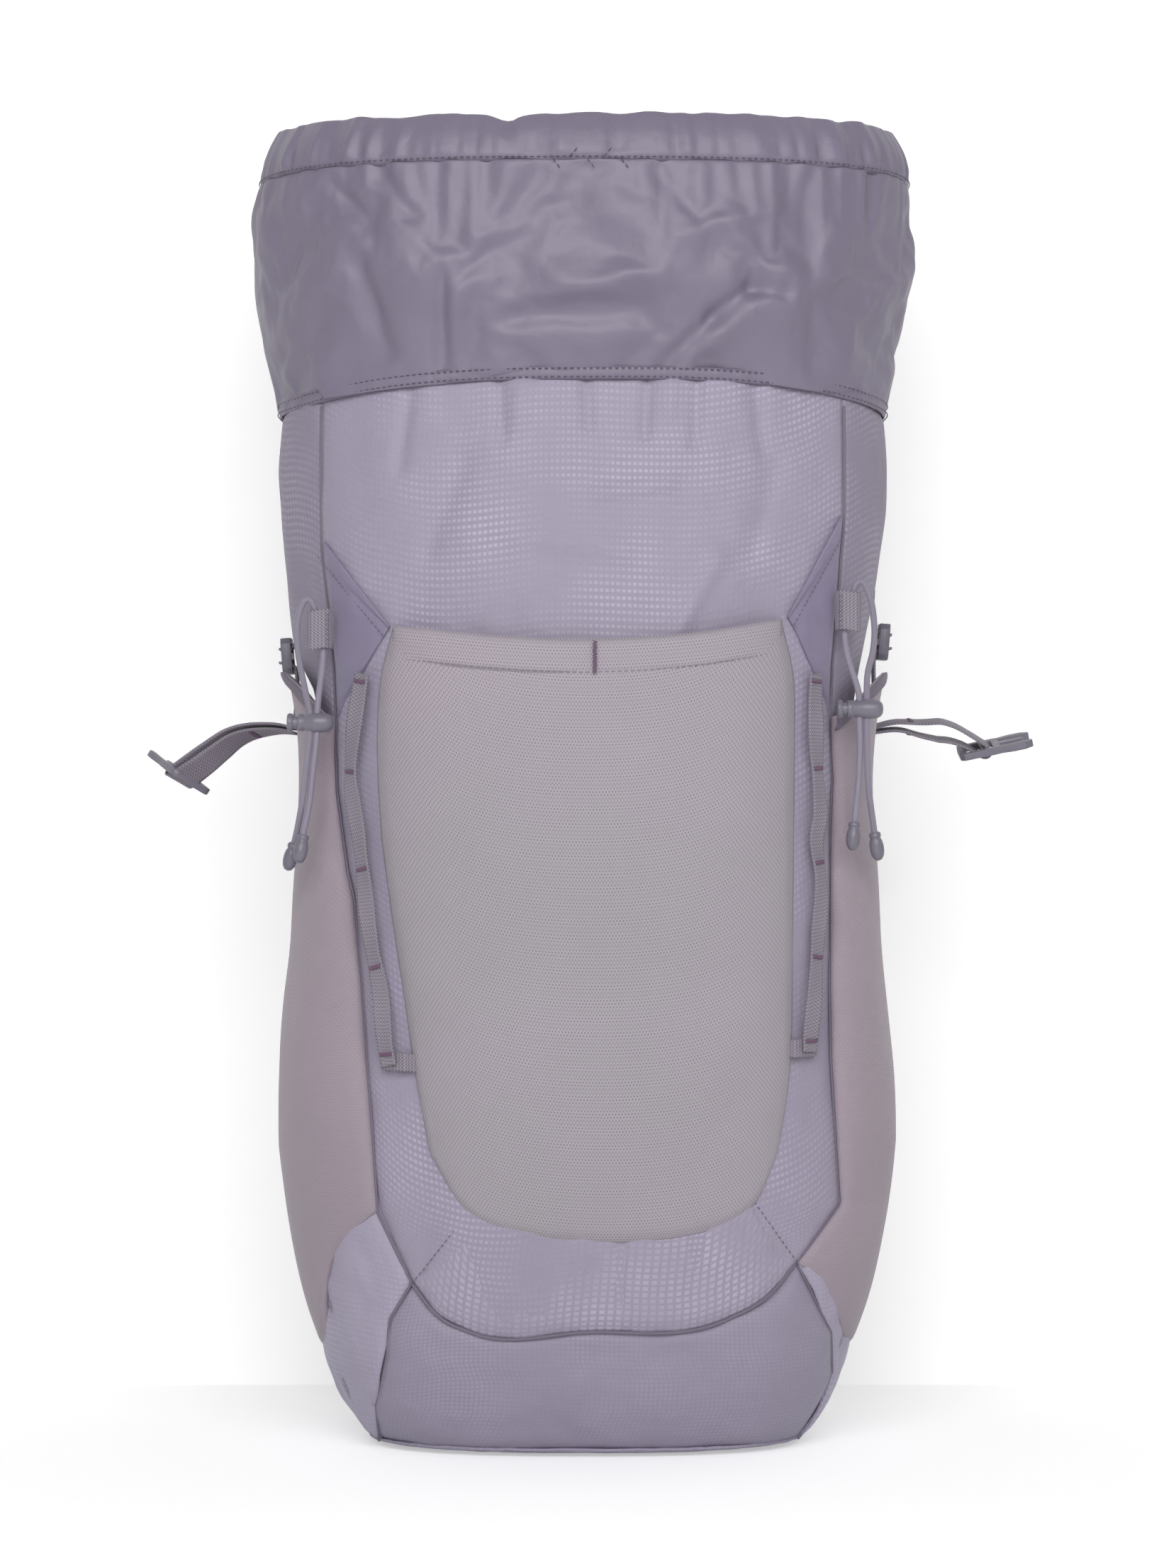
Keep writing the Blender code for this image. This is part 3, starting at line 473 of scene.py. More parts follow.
def rounded_copy(node: str, name: str, width: float = 0.0005) -> Obj:
    """A moulding with a CAD node's shape, its edges rounded.

    Args:
        node: the CAD node.
        name: the new piece's name.
        width: how far the rounding cuts back.

    Returns:
        The new piece.
    """
    maker = bmesh.new()
    maker.from_mesh(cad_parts[node].data)
    bmesh.ops.remove_doubles(maker, verts=maker.verts, dist=1e-5)
    bmesh.ops.dissolve_limit(
        maker, angle_limit=math.radians(1.5), verts=maker.verts, edges=maker.edges
    )
    sharp = [e for e in maker.edges if len(e.link_faces) == 2 and e.calc_face_angle(0) > 0.6]
    bmesh.ops.bevel(
        maker, geom=sharp, offset=width, segments=2, profile=0.5, affect="EDGES", material=-1,
        clamp_overlap=True,
    )
    bmesh.ops.triangulate(maker, faces=[f for f in maker.faces if len(f.verts) > 4])
    obj = MeshMaker.keep(name, maker)
    obj.data.set_sharp_from_angle(angle=math.radians(40))
    return obj


@dataclass
class ClothJob:
    """A piece that the cloth simulation loosens."""

    obj: Obj
    pins: Array
    growth: float
    pressure: float
    cap: float
    bending: float = 0.4


class Draping:
    """Runs Blender's cloth on several pieces at once and keeps the result in their meshes."""

    def __init__(self, frames: int = 20) -> None:
        """Starts with no pieces."""
        self.frames = frames
        self.jobs: list[ClothJob] = []

    def add(self, job: ClothJob) -> None:
        """Adds a piece for the next run."""
        self.jobs.append(job)

    def run(self) -> None:
        """Steps the frames, then writes the capped result into each mesh."""
        scene = bpy.context.scene
        if not self.jobs:
            self.jobs.clear()
            return
        for job in self.jobs:
            self._prepare(job)
        for step in range(1, self.frames + 1):
            scene.frame_set(step)
        graph = bpy.context.evaluated_depsgraph_get()
        for job in self.jobs:
            self._keep(job, graph)
        scene.frame_set(1)
        self.jobs.clear()

    def _prepare(self, job: ClothJob) -> None:
        """Pins the piece and sets its cloth."""
        group = job.obj.vertex_groups.new(name="Held")
        for level in np.unique(np.round(job.pins, 2)):
            picked = np.nonzero(np.abs(np.round(job.pins, 2) - level) < 1e-4)[0]
            group.add([int(k) for k in picked], float(level), "REPLACE")
        cloth = job.obj.modifiers.new("Cloth", "CLOTH")
        settings = cloth.settings
        settings.vertex_group_mass = "Held"
        settings.quality = 6
        settings.mass = 0.15
        settings.tension_stiffness = 25
        settings.compression_stiffness = 25
        settings.shear_stiffness = 8
        settings.bending_stiffness = job.bending
        settings.air_damping = 2.0
        settings.shrink_min = -job.growth
        settings.use_pressure = job.pressure != 0
        settings.uniform_pressure_force = job.pressure
        settings.effector_weights.gravity = 0.0
        cloth.collision_settings.use_collision = False
        cloth.point_cache.frame_start = 1
        cloth.point_cache.frame_end = self.frames

    @staticmethod
    def _keep(job: ClothJob, graph: bpy.types.Depsgraph) -> None:
        """Copies the simulated points back, moved no further than the cap."""
        mesh = job.obj.data
        rest = np.zeros(len(mesh.vertices) * 3, np.float32)
        mesh.vertices.foreach_get("co", rest)
        made = job.obj.evaluated_get(graph).to_mesh()
        loose = np.zeros_like(rest)
        made.vertices.foreach_get("co", loose)
        job.obj.evaluated_get(graph).to_mesh_clear()
        rest, loose = rest.reshape(-1, 3), loose.reshape(-1, 3)
        move = np.nan_to_num(loose - rest)
        reach = np.linalg.norm(move, axis=1, keepdims=True)
        share = job.cap * np.tanh(reach / job.cap) / np.maximum(reach, 1e-9)
        mesh.vertices.foreach_set("co", (rest + move * share).astype(np.float32).ravel())
        job.obj.modifiers.clear()
        job.obj.vertex_groups.clear()
        mesh.update()


DRAPING = Draping()


# --- Shader groups and finishes ------------------------------------------------------------------


class Tree:
    """A node tree with short calls for the nodes that the finishes use."""

    def __init__(self, tree: bpy.types.NodeTree) -> None:
        """Wraps the tree."""
        self.tree = tree

    def node(self, kind: str, **inputs: object) -> bpy.types.Node:
        """Adds a node and sets or links its inputs by name, with spaces written as _."""
        made = self.tree.nodes.new(kind)
        for name, value in inputs.items():
            self.put(made.inputs[name.replace("_", " ")], value)
        return made

    def put(self, socket: Sock, value: object) -> None:
        """Sets a socket, or links it if the value is a socket."""
        if isinstance(value, bpy.types.NodeSocket):
            self.tree.links.new(value, socket)
        elif value is not None:
            socket.default_value = value

    def math(self, operation: str, a: object, b: object = None, c: object = None, clamp: bool = False) -> Sock:
        """A Math node's result."""
        made = self.tree.nodes.new("ShaderNodeMath")
        made.operation = operation
        made.use_clamp = clamp
        for socket, value in zip(made.inputs, (a, b, c)):
            self.put(socket, value)
        return made.outputs[0]

    def blend(self, share: object, a: object, b: object) -> Sock:
        """A mix of two colours."""
        made = self.tree.nodes.new("ShaderNodeMix")
        made.data_type = "RGBA"
        self.put(made.inputs[0], share)
        self.put(made.inputs[6], a)
        self.put(made.inputs[7], b)
        return made.outputs[2]

    def split(self, vector: Sock) -> bpy.types.NodeOutputs:
        """A vector's parts."""
        return self.node("ShaderNodeSeparateXYZ", Vector=vector).outputs

    def noise(self, vector: Sock, scale: object, detail: float = 2.0) -> Sock:
        """A noise texture's value."""
        return self.node("ShaderNodeTexNoise", Vector=vector, Scale=scale, Detail=detail).outputs[0]

    def group(self, group: bpy.types.NodeTree, **inputs: object) -> bpy.types.NodeOutputs:
        """Places a shader group with its own values."""
        made = self.tree.nodes.new("ShaderNodeGroup")
        made.node_tree = group
        for name, value in inputs.items():
            self.put(made.inputs[name.replace("_", " ")], value)
        return made.outputs


def new_group(name: str, inputs: dict, outputs: Sequence[str]) -> tuple:
    """An empty shader group.

    Args:
        name: the group's name.
        inputs: input names with their default numbers, or None for a vector.
        outputs: names of the numbers that it gives.

    Returns:
        The group, its wrapper, its input sockets and its output node.
    """
    group = bpy.data.node_groups.new(name, "ShaderNodeTree")
    for label, value in inputs.items():
        kind = "NodeSocketVector" if value is None else "NodeSocketFloat"
        socket = group.interface.new_socket(name=label, in_out="INPUT", socket_type=kind)
        if value is not None:
            socket.default_value = value
    for label in outputs:
        group.interface.new_socket(name=label, in_out="OUTPUT", socket_type="NodeSocketFloat")
    tree = Tree(group)
    source = tree.node("NodeGroupInput")
    sink = tree.node("NodeGroupOutput")
    return group, tree, source.outputs, sink


class Patterns:
    """The shader groups that the finishes share."""

    def __init__(self) -> None:
        """Builds every group once."""
        self.dashes = self._dashes()
        self.weave = self._weave()
        self.knit = self._knit()
        self.ribs = self._ribs()
        self.mottle = self._mottle()
        self.rumple = self._rumple()

    @staticmethod
    def _dashes() -> bpy.types.NodeTree:
        """Rows of small light dashes, as woven into ripstop."""
        group, tree, given, sink = new_group(
            "DashRows", {"Vector": None, "Row": 0.00365, "Dash": 0.0016, "Tall": 0.52, "Wide": 0.68}, ["Mask"]
        )
        x, y, _ = tree.split(given["Vector"])
        masks = []
        for way, pitch, share, soft in ((x, "Dash", "Wide", 0.16), (y, "Row", "Tall", 0.10)):
            cell = tree.math("FRACT", tree.math("DIVIDE", way, given[pitch]))
            off = tree.math("ABSOLUTE", tree.math("SUBTRACT", cell, 0.5))
            room = tree.math("SUBTRACT", tree.math("MULTIPLY", given[share], 0.5), off)
            masks.append(tree.math("MULTIPLY_ADD", room, 1 / soft, 0.5, clamp=True))
        tree.put(sink.inputs["Mask"], tree.math("MULTIPLY", *masks))
        return group

    @staticmethod
    def _weave() -> bpy.types.NodeTree:
        """Plain weave: threads that pass over and under each other."""
        group, tree, given, sink = new_group("PlainWeave", {"Vector": None, "Pitch": 0.0006}, ["Height"])
        x, y, _ = tree.split(given["Vector"])
        turn = tree.math("DIVIDE", math.tau, given["Pitch"])
        waves = [tree.math("SINE", tree.math("MULTIPLY", way, turn)) for way in (x, y)]
        tree.put(sink.inputs["Height"], tree.math("MULTIPLY_ADD", tree.math("MULTIPLY", *waves), 0.5, 0.5))
        return group

    @staticmethod
    def _knit() -> bpy.types.NodeTree:
        """Stretch knit: small cells in a slanted net, with an open mask and a height."""
        group, tree, given, sink = new_group(
            "StretchKnit", {"Vector": None, "Pitch": 0.0011, "Lean": 0.5}, ["Height", "Open"]
        )
        x, y, _ = tree.split(given["Vector"])
        turn = tree.math("DIVIDE", math.tau, given["Pitch"])
        lean = tree.math("MULTIPLY", y, given["Lean"])
        total: object = 0.0
        for slanted in (tree.math("ADD", x, lean), tree.math("SUBTRACT", x, lean)):
            wave = tree.math("COSINE", tree.math("MULTIPLY", slanted, turn))
            total = tree.math("ADD", total, wave)
        across = tree.math("COSINE", tree.math("MULTIPLY", y, tree.math("MULTIPLY", turn, 0.9)))
        total = tree.math("ADD", total, tree.math("MULTIPLY", across, 0.7))
        height = tree.math("MULTIPLY_ADD", total, 0.185, 0.5)
        tree.put(sink.inputs["Height"], height)
        tree.put(sink.inputs["Open"], tree.math("MULTIPLY_ADD", height, -2.2, 1.1, clamp=True))
        return group

    @staticmethod
    def _ribs() -> bpy.types.NodeTree:
        """Webbing: short ribs in a brick order, with plain edges."""
        group, tree, given, sink = new_group("WebRibs", {"Vector": None, "Pitch": 0.0012}, ["Height"])
        x, y, _ = tree.split(given["Vector"])
        turn = tree.math("DIVIDE", math.tau, given["Pitch"])
        along = tree.math("SINE", tree.math("MULTIPLY", x, turn))
        across = tree.math("SINE", tree.math("MULTIPLY", y, tree.math("MULTIPLY", turn, 1.15)))
        checks = tree.math("MULTIPLY", along, across)
        ribbed = tree.math("ADD", tree.math("MULTIPLY", checks, 0.35), tree.math("MULTIPLY", along, 0.12))
        tree.put(sink.inputs["Height"], tree.math("ADD", ribbed, 0.5, clamp=True))
        return group

    @staticmethod
    def _mottle() -> bpy.types.NodeTree:
        """Uneven tone of cloth, from large soft clouds and a little fibre grain."""
        group, tree, given, sink = new_group(
            "UnevenTone", {"Vector": None, "Clouds": 14.0, "Grain": 900.0, "Amount": 0.5}, ["Tone"]
        )
        clouds = tree.noise(given["Vector"], given["Clouds"], 3.0)
        grain = tree.noise(given["Vector"], given["Grain"], 1.0)
        both = tree.math("ADD", tree.math("MULTIPLY", clouds, 0.75), tree.math("MULTIPLY", grain, 0.25))
        off = tree.math("SUBTRACT", both, 0.5)
        tree.put(sink.inputs["Tone"], tree.math("MULTIPLY_ADD", off, given["Amount"], 0.5, clamp=True))
        return group

    @staticmethod
    def _rumple() -> bpy.types.NodeTree:
        """Fine creases of crumpled cloth, as a height."""
        group, tree, given, sink = new_group(
            "Rumple", {"Vector": None, "Scale": 40.0, "Sharp": 0.5}, ["Height"]
        )
        first = tree.noise(given["Vector"], given["Scale"], 4.0)
        ridge = tree.math("ABSOLUTE", tree.math("SUBTRACT", first, 0.5))
        second = tree.noise(given["Vector"], tree.math("MULTIPLY", given["Scale"], 2.7), 3.0)
        sharp = tree.math("MULTIPLY", tree.math("MULTIPLY", ridge, 2.0), given["Sharp"])
        soft = tree.math("MULTIPLY", second, tree.math("SUBTRACT", 1.0, given["Sharp"]))
        tree.put(sink.inputs["Height"], tree.math("ADD", sharp, soft))
        return group


PATTERNS = Patterns()


def linear(red: float, green: float, blue: float) -> tuple:
    """A colour for a shader from its 0 to 255 values."""
    parts = []
    for value in (red / 255, green / 255, blue / 255):
        parts.append(value / 12.92 if value <= 0.04045 else ((value + 0.055) / 1.055) ** 2.4)
    return (*parts, 1.0)


def shade(colour: Sequence[float], factor: float) -> tuple:
    """A colour made lighter or darker."""
    return tuple(min(c * factor, 1.0) for c in colour[:3]) + (1.0,)


@dataclass(frozen=True)
class Finish:
    """What every finish has: a name, a colour and a gloss."""

    name: str
    colour: tuple
    roughness: float = 0.6
    sheen: float = 0.15

    def start(self) -> tuple:
        """A new material with its wrapped tree, shader, cloth coordinates and object coordinates."""
        material = bpy.data.materials.new(self.name)
        material.use_nodes = True
        tree = Tree(material.node_tree)
        shader = material.node_tree.nodes["Principled BSDF"]
        shader.inputs["Roughness"].default_value = self.roughness
        shader.inputs["Sheen Weight"].default_value = self.sheen
        shader.inputs["Sheen Roughness"].default_value = 0.4
        shader.inputs["Base Color"].default_value = self.colour
        cloth = tree.node("ShaderNodeUVMap")
        cloth.uv_map = "Cloth"
        place = tree.node("ShaderNodeTexCoord").outputs["Object"]
        return material, tree, shader, cloth.outputs[0], place

    @staticmethod
    def bump(tree: Tree, shader: bpy.types.Node, height: Sock, distance: float, strength: float,
             below: Optional[Sock] = None) -> Sock:
        """Adds a bump to the shader's normal and returns it."""
        made = tree.node("ShaderNodeBump", Height=height, Distance=distance, Strength=strength)
        if below is not None:
            tree.put(made.inputs["Normal"], below)
        tree.put(shader.inputs["Normal"], made.outputs[0])
        return made.outputs[0]

    def build(self) -> bpy.types.Material:
        """The plain form: uneven tone and grain only."""
        material, tree, shader, _, place = self.start()
        tone = tree.group(PATTERNS.mottle, Vector=place, Amount=0.8)["Tone"]
        mixed = tree.blend(tone, shade(self.colour, 0.86), shade(self.colour, 1.14))
        tree.put(shader.inputs["Base Color"], mixed)
        self.bump(tree, shader, tree.noise(place, 1500.0), 0.0001, 0.2)
        return material


@dataclass(frozen=True)
class Ripstop(Finish):
    """Light ripstop with rows of woven dashes."""

    row: float = 0.0034
    dash: float = 0.0026
    tall: float = 0.46
    wide: float = 0.66
    lift: float = 1.34
    upright: bool = False

    def build(self) -> bpy.types.Material:
        """Dashes that fade in and out, plain weave and soft creases."""
        material, tree, shader, cloth, place = self.start()
        vector = cloth
        if self.upright:
            turned = tree.node("ShaderNodeMapping", Vector=cloth, Rotation=(0.0, 0.0, math.pi / 2))
            vector = turned.outputs[0]
        mask = tree.group(
            PATTERNS.dashes, Vector=vector, Row=self.row, Dash=self.dash, Tall=self.tall, Wide=self.wide
        )["Mask"]
        patchy = tree.math("MULTIPLY_ADD", tree.noise(place, 24.0, 2.5), 3.4, -1.25, clamp=True)
        shown = tree.math("MULTIPLY", mask, patchy)
        tone = tree.group(PATTERNS.mottle, Vector=place, Clouds=9.0, Amount=0.9)["Tone"]
        ground = tree.blend(tone, shade(self.colour, 0.90), shade(self.colour, 1.10))
        light = shade(self.colour, self.lift)
        tree.put(shader.inputs["Base Color"], tree.blend(shown, ground, light))
        gloss = tree.math("MULTIPLY_ADD", shown, -0.12, self.roughness)
        tree.put(shader.inputs["Roughness"], gloss)
        weave = tree.group(PATTERNS.weave, Vector=cloth, Pitch=0.0007)["Height"]
        rumple = tree.group(PATTERNS.rumple, Vector=place, Scale=34.0, Sharp=0.45)["Height"]
        large = self.bump(tree, shader, rumple, 0.0022, 0.55)
        ridged = tree.math("ADD", tree.math("MULTIPLY", weave, 0.35), mask)
        self.bump(tree, shader, ridged, 0.00012, 0.6, large)
        return material


@dataclass(frozen=True)
class Taffeta(Finish):
    """Smooth glossy plain weave that shows every crease."""

    scale: float = 22.0
    depth: float = 0.0030

    def build(self) -> bpy.types.Material:
        """Fine weave, fibre tone and crumpled creases in two sizes."""
        material, tree, shader, cloth, place = self.start()
        tone = tree.group(PATTERNS.mottle, Vector=place, Clouds=12.0, Grain=1400.0, Amount=1.0)["Tone"]
        mixed = tree.blend(tone, shade(self.colour, 0.88), shade(self.colour, 1.12))
        tree.put(shader.inputs["Base Color"], mixed)
        rumple = tree.group(PATTERNS.rumple, Vector=place, Scale=self.scale, Sharp=0.7)["Height"]
        large = self.bump(tree, shader, rumple, self.depth, 0.6)
        weave = tree.group(PATTERNS.weave, Vector=cloth, Pitch=0.00055)["Height"]
        self.bump(tree, shader, weave, 0.00006, 0.5, large)
        rough = tree.math("MULTIPLY_ADD", tone, 0.14, self.roughness - 0.07)
        tree.put(shader.inputs["Roughness"], rough)
        return material


@dataclass(frozen=True)
class Stretch(Finish):
    """Stretch knit mesh whose yarn drifts towards a warmer second colour, with painted shade in its open cells."""

    pitch: float = 0.0011
    lean: float = 0.55
    # The open cells' colour: the layer beneath, darkened as painted shade.
    under: tuple = (0.2, 0.2, 0.2, 1.0)
    warm: tuple = (0.5, 0.4, 0.45, 1.0)

    def build(self) -> bpy.types.Material:
        """A net of cells, shifting slowly between two tints, over a darker ground that is the layer beneath with
        painted shade.
        """
        material, tree, shader, cloth, place = self.start()
        knit = tree.group(PATTERNS.knit, Vector=cloth, Pitch=self.pitch, Lean=self.lean)
        drift = tree.math("MULTIPLY_ADD", tree.noise(place, 5.0, 2.0), 2.4, -0.7, clamp=True)
        yarn = tree.blend(drift, self.colour, self.warm)
        tone = tree.group(PATTERNS.mottle, Vector=place, Clouds=30.0, Grain=1200.0, Amount=0.8)["Tone"]
        yarn = tree.blend(tree.math("MULTIPLY", tone, 0.45), yarn, shade(self.colour, 1.25))
        # Open cells take the under colour: painted shade in the holes over the layer beneath.
        tree.put(shader.inputs["Base Color"], tree.blend(tree.math("MULTIPLY", knit["Open"], 0.85), yarn, self.under))
        rumple = tree.group(PATTERNS.rumple, Vector=place, Scale=9.0, Sharp=0.2)["Height"]
        large = self.bump(tree, shader, rumple, 0.0030, 0.35)
        self.bump(tree, shader, knit["Height"], 0.00018, 0.7, large)
        return material


@dataclass(frozen=True)
class Webbing(Finish):
    """Woven strap with short ribs."""

    pitch: float = 0.0012
    contrast: float = 0.55

    def build(self) -> bpy.types.Material:
        """Light and dark rib checks with a matching relief."""
        material, tree, shader, cloth, place = self.start()
        ribs = tree.group(PATTERNS.ribs, Vector=cloth, Pitch=self.pitch)["Height"]
        low, high = shade(self.colour, 1 - self.contrast), shade(self.colour, 1 + self.contrast)
        tone = tree.group(PATTERNS.mottle, Vector=place, Clouds=60.0, Grain=2500.0, Amount=0.7)["Tone"]
        woven = tree.blend(ribs, low, high)
        worn = tree.blend(tree.math("MULTIPLY", tone, 0.3), woven, shade(self.colour, 1.35))
        tree.put(shader.inputs["Base Color"], worn)
        self.bump(tree, shader, ribs, 0.00022, 0.8)
        return material


@dataclass(frozen=True)
class Moulding(Finish):
    """Satin injection-moulded plastic with a fine grain and small scuffs."""

    def build(self) -> bpy.types.Material:
        """Grain, slight tone drift and small scuffs."""
        material, tree, shader, _, place = self.start()
        shader.inputs["Sheen Weight"].default_value = 0.0
        tone = tree.group(PATTERNS.mottle, Vector=place, Clouds=90.0, Grain=3000.0, Amount=0.9)["Tone"]
        mixed = tree.blend(tone, shade(self.colour, 0.88), shade(self.colour, 1.12))
        scuffs = tree.math("MULTIPLY_ADD", tree.noise(place, 420.0, 3.0), 5.0, -3.1, clamp=True)
        tree.put(shader.inputs["Base Color"], tree.blend(tree.math("MULTIPLY", scuffs, 0.25), mixed, shade(self.colour, 1.6)))
        rough = tree.math("MULTIPLY_ADD", tone, 0.2, self.roughness - 0.1)
        tree.put(shader.inputs["Roughness"], rough)
        self.bump(tree, shader, tree.noise(place, 2600.0, 2.0), 0.00005, 0.35)
        return material


@dataclass(frozen=True)
class Steel(Finish):
    """Drawn spring wire."""

    def build(self) -> bpy.types.Material:
        """Bright metal with fine drawing marks."""
        material, tree, shader, _, place = self.start()
        shader.inputs["Metallic"].default_value = 1.0
        shader.inputs["Sheen Weight"].default_value = 0.0
        marks = tree.noise(place, 1800.0, 2.0)
        tree.put(shader.inputs["Roughness"], tree.math("MULTIPLY_ADD", marks, 0.2, self.roughness - 0.1))
        return material


class Finishes:
    """Every material of the bag, built once."""

    def __init__(self) -> None:
        """Builds the materials."""
        lilac = linear(166, 158, 178)
        self.ripstop = Ripstop("ripstop", lilac, 0.58, 0.2).build()
        # The same ripstop with a darker colour: painted shade on the bag's flanks and back panel.
        self.ripstop_shaded = Ripstop("ripstop_shaded", linear(152, 144, 163), 0.62, 0.1).build()
        self.ripstop_low = Ripstop(
            "ripstop_low", linear(166, 159, 179), 0.58, 0.2, row=0.0040, dash=0.0030, tall=0.62, wide=0.62,
            lift=1.36, upright=True,
        ).build()
        self.corner = Ripstop("corner_cloth", linear(176, 169, 190), 0.58, 0.2, row=0.0030, lift=1.2).build()
        self.boot = Ripstop(
            "boot_cloth", linear(158, 151, 171), 0.60, 0.2, row=0.0023, dash=0.0023, tall=0.6, wide=0.6, lift=1.15
        ).build()
        self.wing = Taffeta("wing_cloth", linear(146, 138, 163), 0.50, 0.15, scale=30.0, depth=0.0012).build()
        self.taffeta = Taffeta("collar_taffeta", linear(134, 126, 146), 0.38, 0.05).build()
        # Each stretch mesh's under colour is painted shade in its open cells.
        self.pocket = Stretch(
            "pocket_mesh", linear(172, 167, 173), 0.78, 0.30, pitch=0.0015, under=linear(122, 114, 126),
            warm=linear(188, 174, 188),
        ).build()
        self.side_mesh = Stretch(
            "side_mesh", linear(172, 160, 170), 0.80, 0.30, pitch=0.0013, lean=1.6,
            under=linear(126, 114, 128), warm=linear(178, 163, 174),
        ).build()
        self.webbing = Webbing("webbing", linear(142, 135, 147), 0.72, 0.2, pitch=0.0017, contrast=0.75).build()
        self.tape = Webbing("edge_tape", linear(128, 119, 136), 0.75, 0.2, pitch=0.0008, contrast=0.3).build()
        self.cord = Webbing("shock_cord", linear(150, 143, 160), 0.65, 0.2, pitch=0.0011, contrast=0.35).build()
        self.moulding = Moulding("moulding", linear(128, 124, 137), 0.30).build()
        self.spacer = Stretch(
            "spacer_mesh", linear(112, 105, 120), 0.85, 0.3, pitch=0.0024, lean=0.9,
            under=linear(52, 47, 58), warm=linear(118, 108, 124),
        ).build()
        self.lining = Taffeta("lining", linear(128, 121, 138), 0.6, 0.1, scale=18.0, depth=0.0015).build()
        self.thread = Finish("thread", linear(98, 80, 100), 0.7).build()
        self.thread_pale = Finish("thread_pale", linear(120, 110, 128), 0.7).build()
        self.thread_knit = Finish("thread_knit", linear(150, 142, 152), 0.7).build()
        self.thread_tack = Finish("thread_tack", linear(122, 92, 118), 0.7).build()
        self.plate = Finish("stiffener", linear(190, 190, 195), 0.5, 0.0).build()
        self.steel = Steel("spring_wire", (0.62, 0.62, 0.62, 1.0), 0.3).build()


FINISHES = Finishes()


def dress(obj: Obj, material: bpy.types.Material, body: str, *stands_for: str, like: str = "") -> Obj:
    """Gives a finished piece its material, its body and the CAD nodes that it stands for.

    Args:
        obj: the piece.
        material: its finish.
        body: the body it rides on.
        stands_for: CAD nodes that it replaces.
        like: for a trim that replaces nothing, the slot whose finish it takes; not used.

    Returns:
        The piece.
    """
    obj.data.materials.clear()
    obj.data.materials.append(material)
    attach(obj, body)
    if stands_for:
        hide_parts(*stands_for)
    LOG.info("%s: %d faces on %s", obj.name, len(obj.data.polygons), body)
    return obj


def dress_node(node: str, material: bpy.types.Material) -> None:
    """Gives a CAD node that stays its finish."""
    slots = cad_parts[node].material_slots
    for slot in slots:
        slot.material = material
    LOG.info("%s: kept with %s", node, material.name)


def rim_dip(u: Array, v: Array, wide: float, tall: float, depth: float = 0.0016, reach: float = 0.0028) -> Array:
    """How far a panel turns in at its four edges, as where it is sewn."""
    near = np.minimum(np.minimum(u, 1 - u) * wide, np.minimum(v, 1 - v) * tall)
    return -depth * np.exp(-((near / reach) ** 2))


# --- Stitching -----------------------------------------------------------------------------------


class Stitching:
    """Rows of thread, each stitch a small closed bead along the row."""

    def __init__(self, name: str, material: bpy.types.Material, like: str, body: str = "pack") -> None:
        """Starts an empty piece."""
        self.name, self.material, self.like, self.body = name, material, like, body
        self.maker = bmesh.new()

    def bead(self, start: Array, end: Array, radius: float) -> None:
        """One stitch between two points."""
        ahead = Vector(end - start)
        middle = Vector((start + end) / 2)
        turn = ahead.to_track_quat("Z", "Y").to_matrix().to_4x4()
        size = Matrix.Diagonal((radius, radius, ahead.length / 2, 1.0))
        bmesh.ops.create_icosphere(
            self.maker, subdivisions=1, radius=1.0, matrix=Matrix.Translation(middle) @ turn @ size
        )

    def row(self, points: Array, pitch: float = 0.0030, share: float = 0.72, radius: float = 0.00032) -> None:
        """A row of stitches along a line."""
        count = max(int(route_length(points) / pitch), 1)
        line = smooth_route(points, count * 4 + 1) if len(points) > 1 else points
        for k in range(count):
            a, b = line[4 * k], line[4 * k + 4]
            self.bead(a + (b - a) * (1 - share) / 2, b - (b - a) * (1 - share) / 2, radius)

    def zigzag(self, centre: Array, along: Array, across: Array, length: float, width: float, count: int) -> None:
        """A bartack: tight zigzag thread over a short length."""
        for k in range(count):
            t0, t1 = k / count - 0.5, (k + 1) / count - 0.5
            flip = 1 if k % 2 else -1
            a = centre + along * length * t0 + across * width / 2 * flip
            b = centre + along * length * t1 - across * width / 2 * flip
            self.bead(a, b, 0.00038)

    def keep(self) -> Obj:
        """Finishes the piece."""
        return dress(MeshMaker.keep(self.name, self.maker), self.material, self.body, like=self.like)


# --- The sewn body -------------------------------------------------------------------------------

FOOT = 0.003
CLOTH_THICKNESS = 0.0012
BOOT_SEAM = (
    (0, 0.0849), (0.064, 0.0704), (0.154, 0.0621), (0.454, 0.0626), (0.824, 0.0684), (0.9355, 0.0800),
    (1, 0.0935),
)
NOTCH = {Side.LEFT: 0.0849, Side.RIGHT: 0.0935}


def between(a: Array | float, b: Array | float, share: Array | float) -> Array:
    """A value that goes from a to b as the share goes from 0 to 1."""
    return a + (b - a) * share


def seam_turn(side: Side, z: Array) -> Array:
    """The turn of the front seam, without its sign."""
    return np.abs(SHELL.turn_of(seam_x(side, z), z))


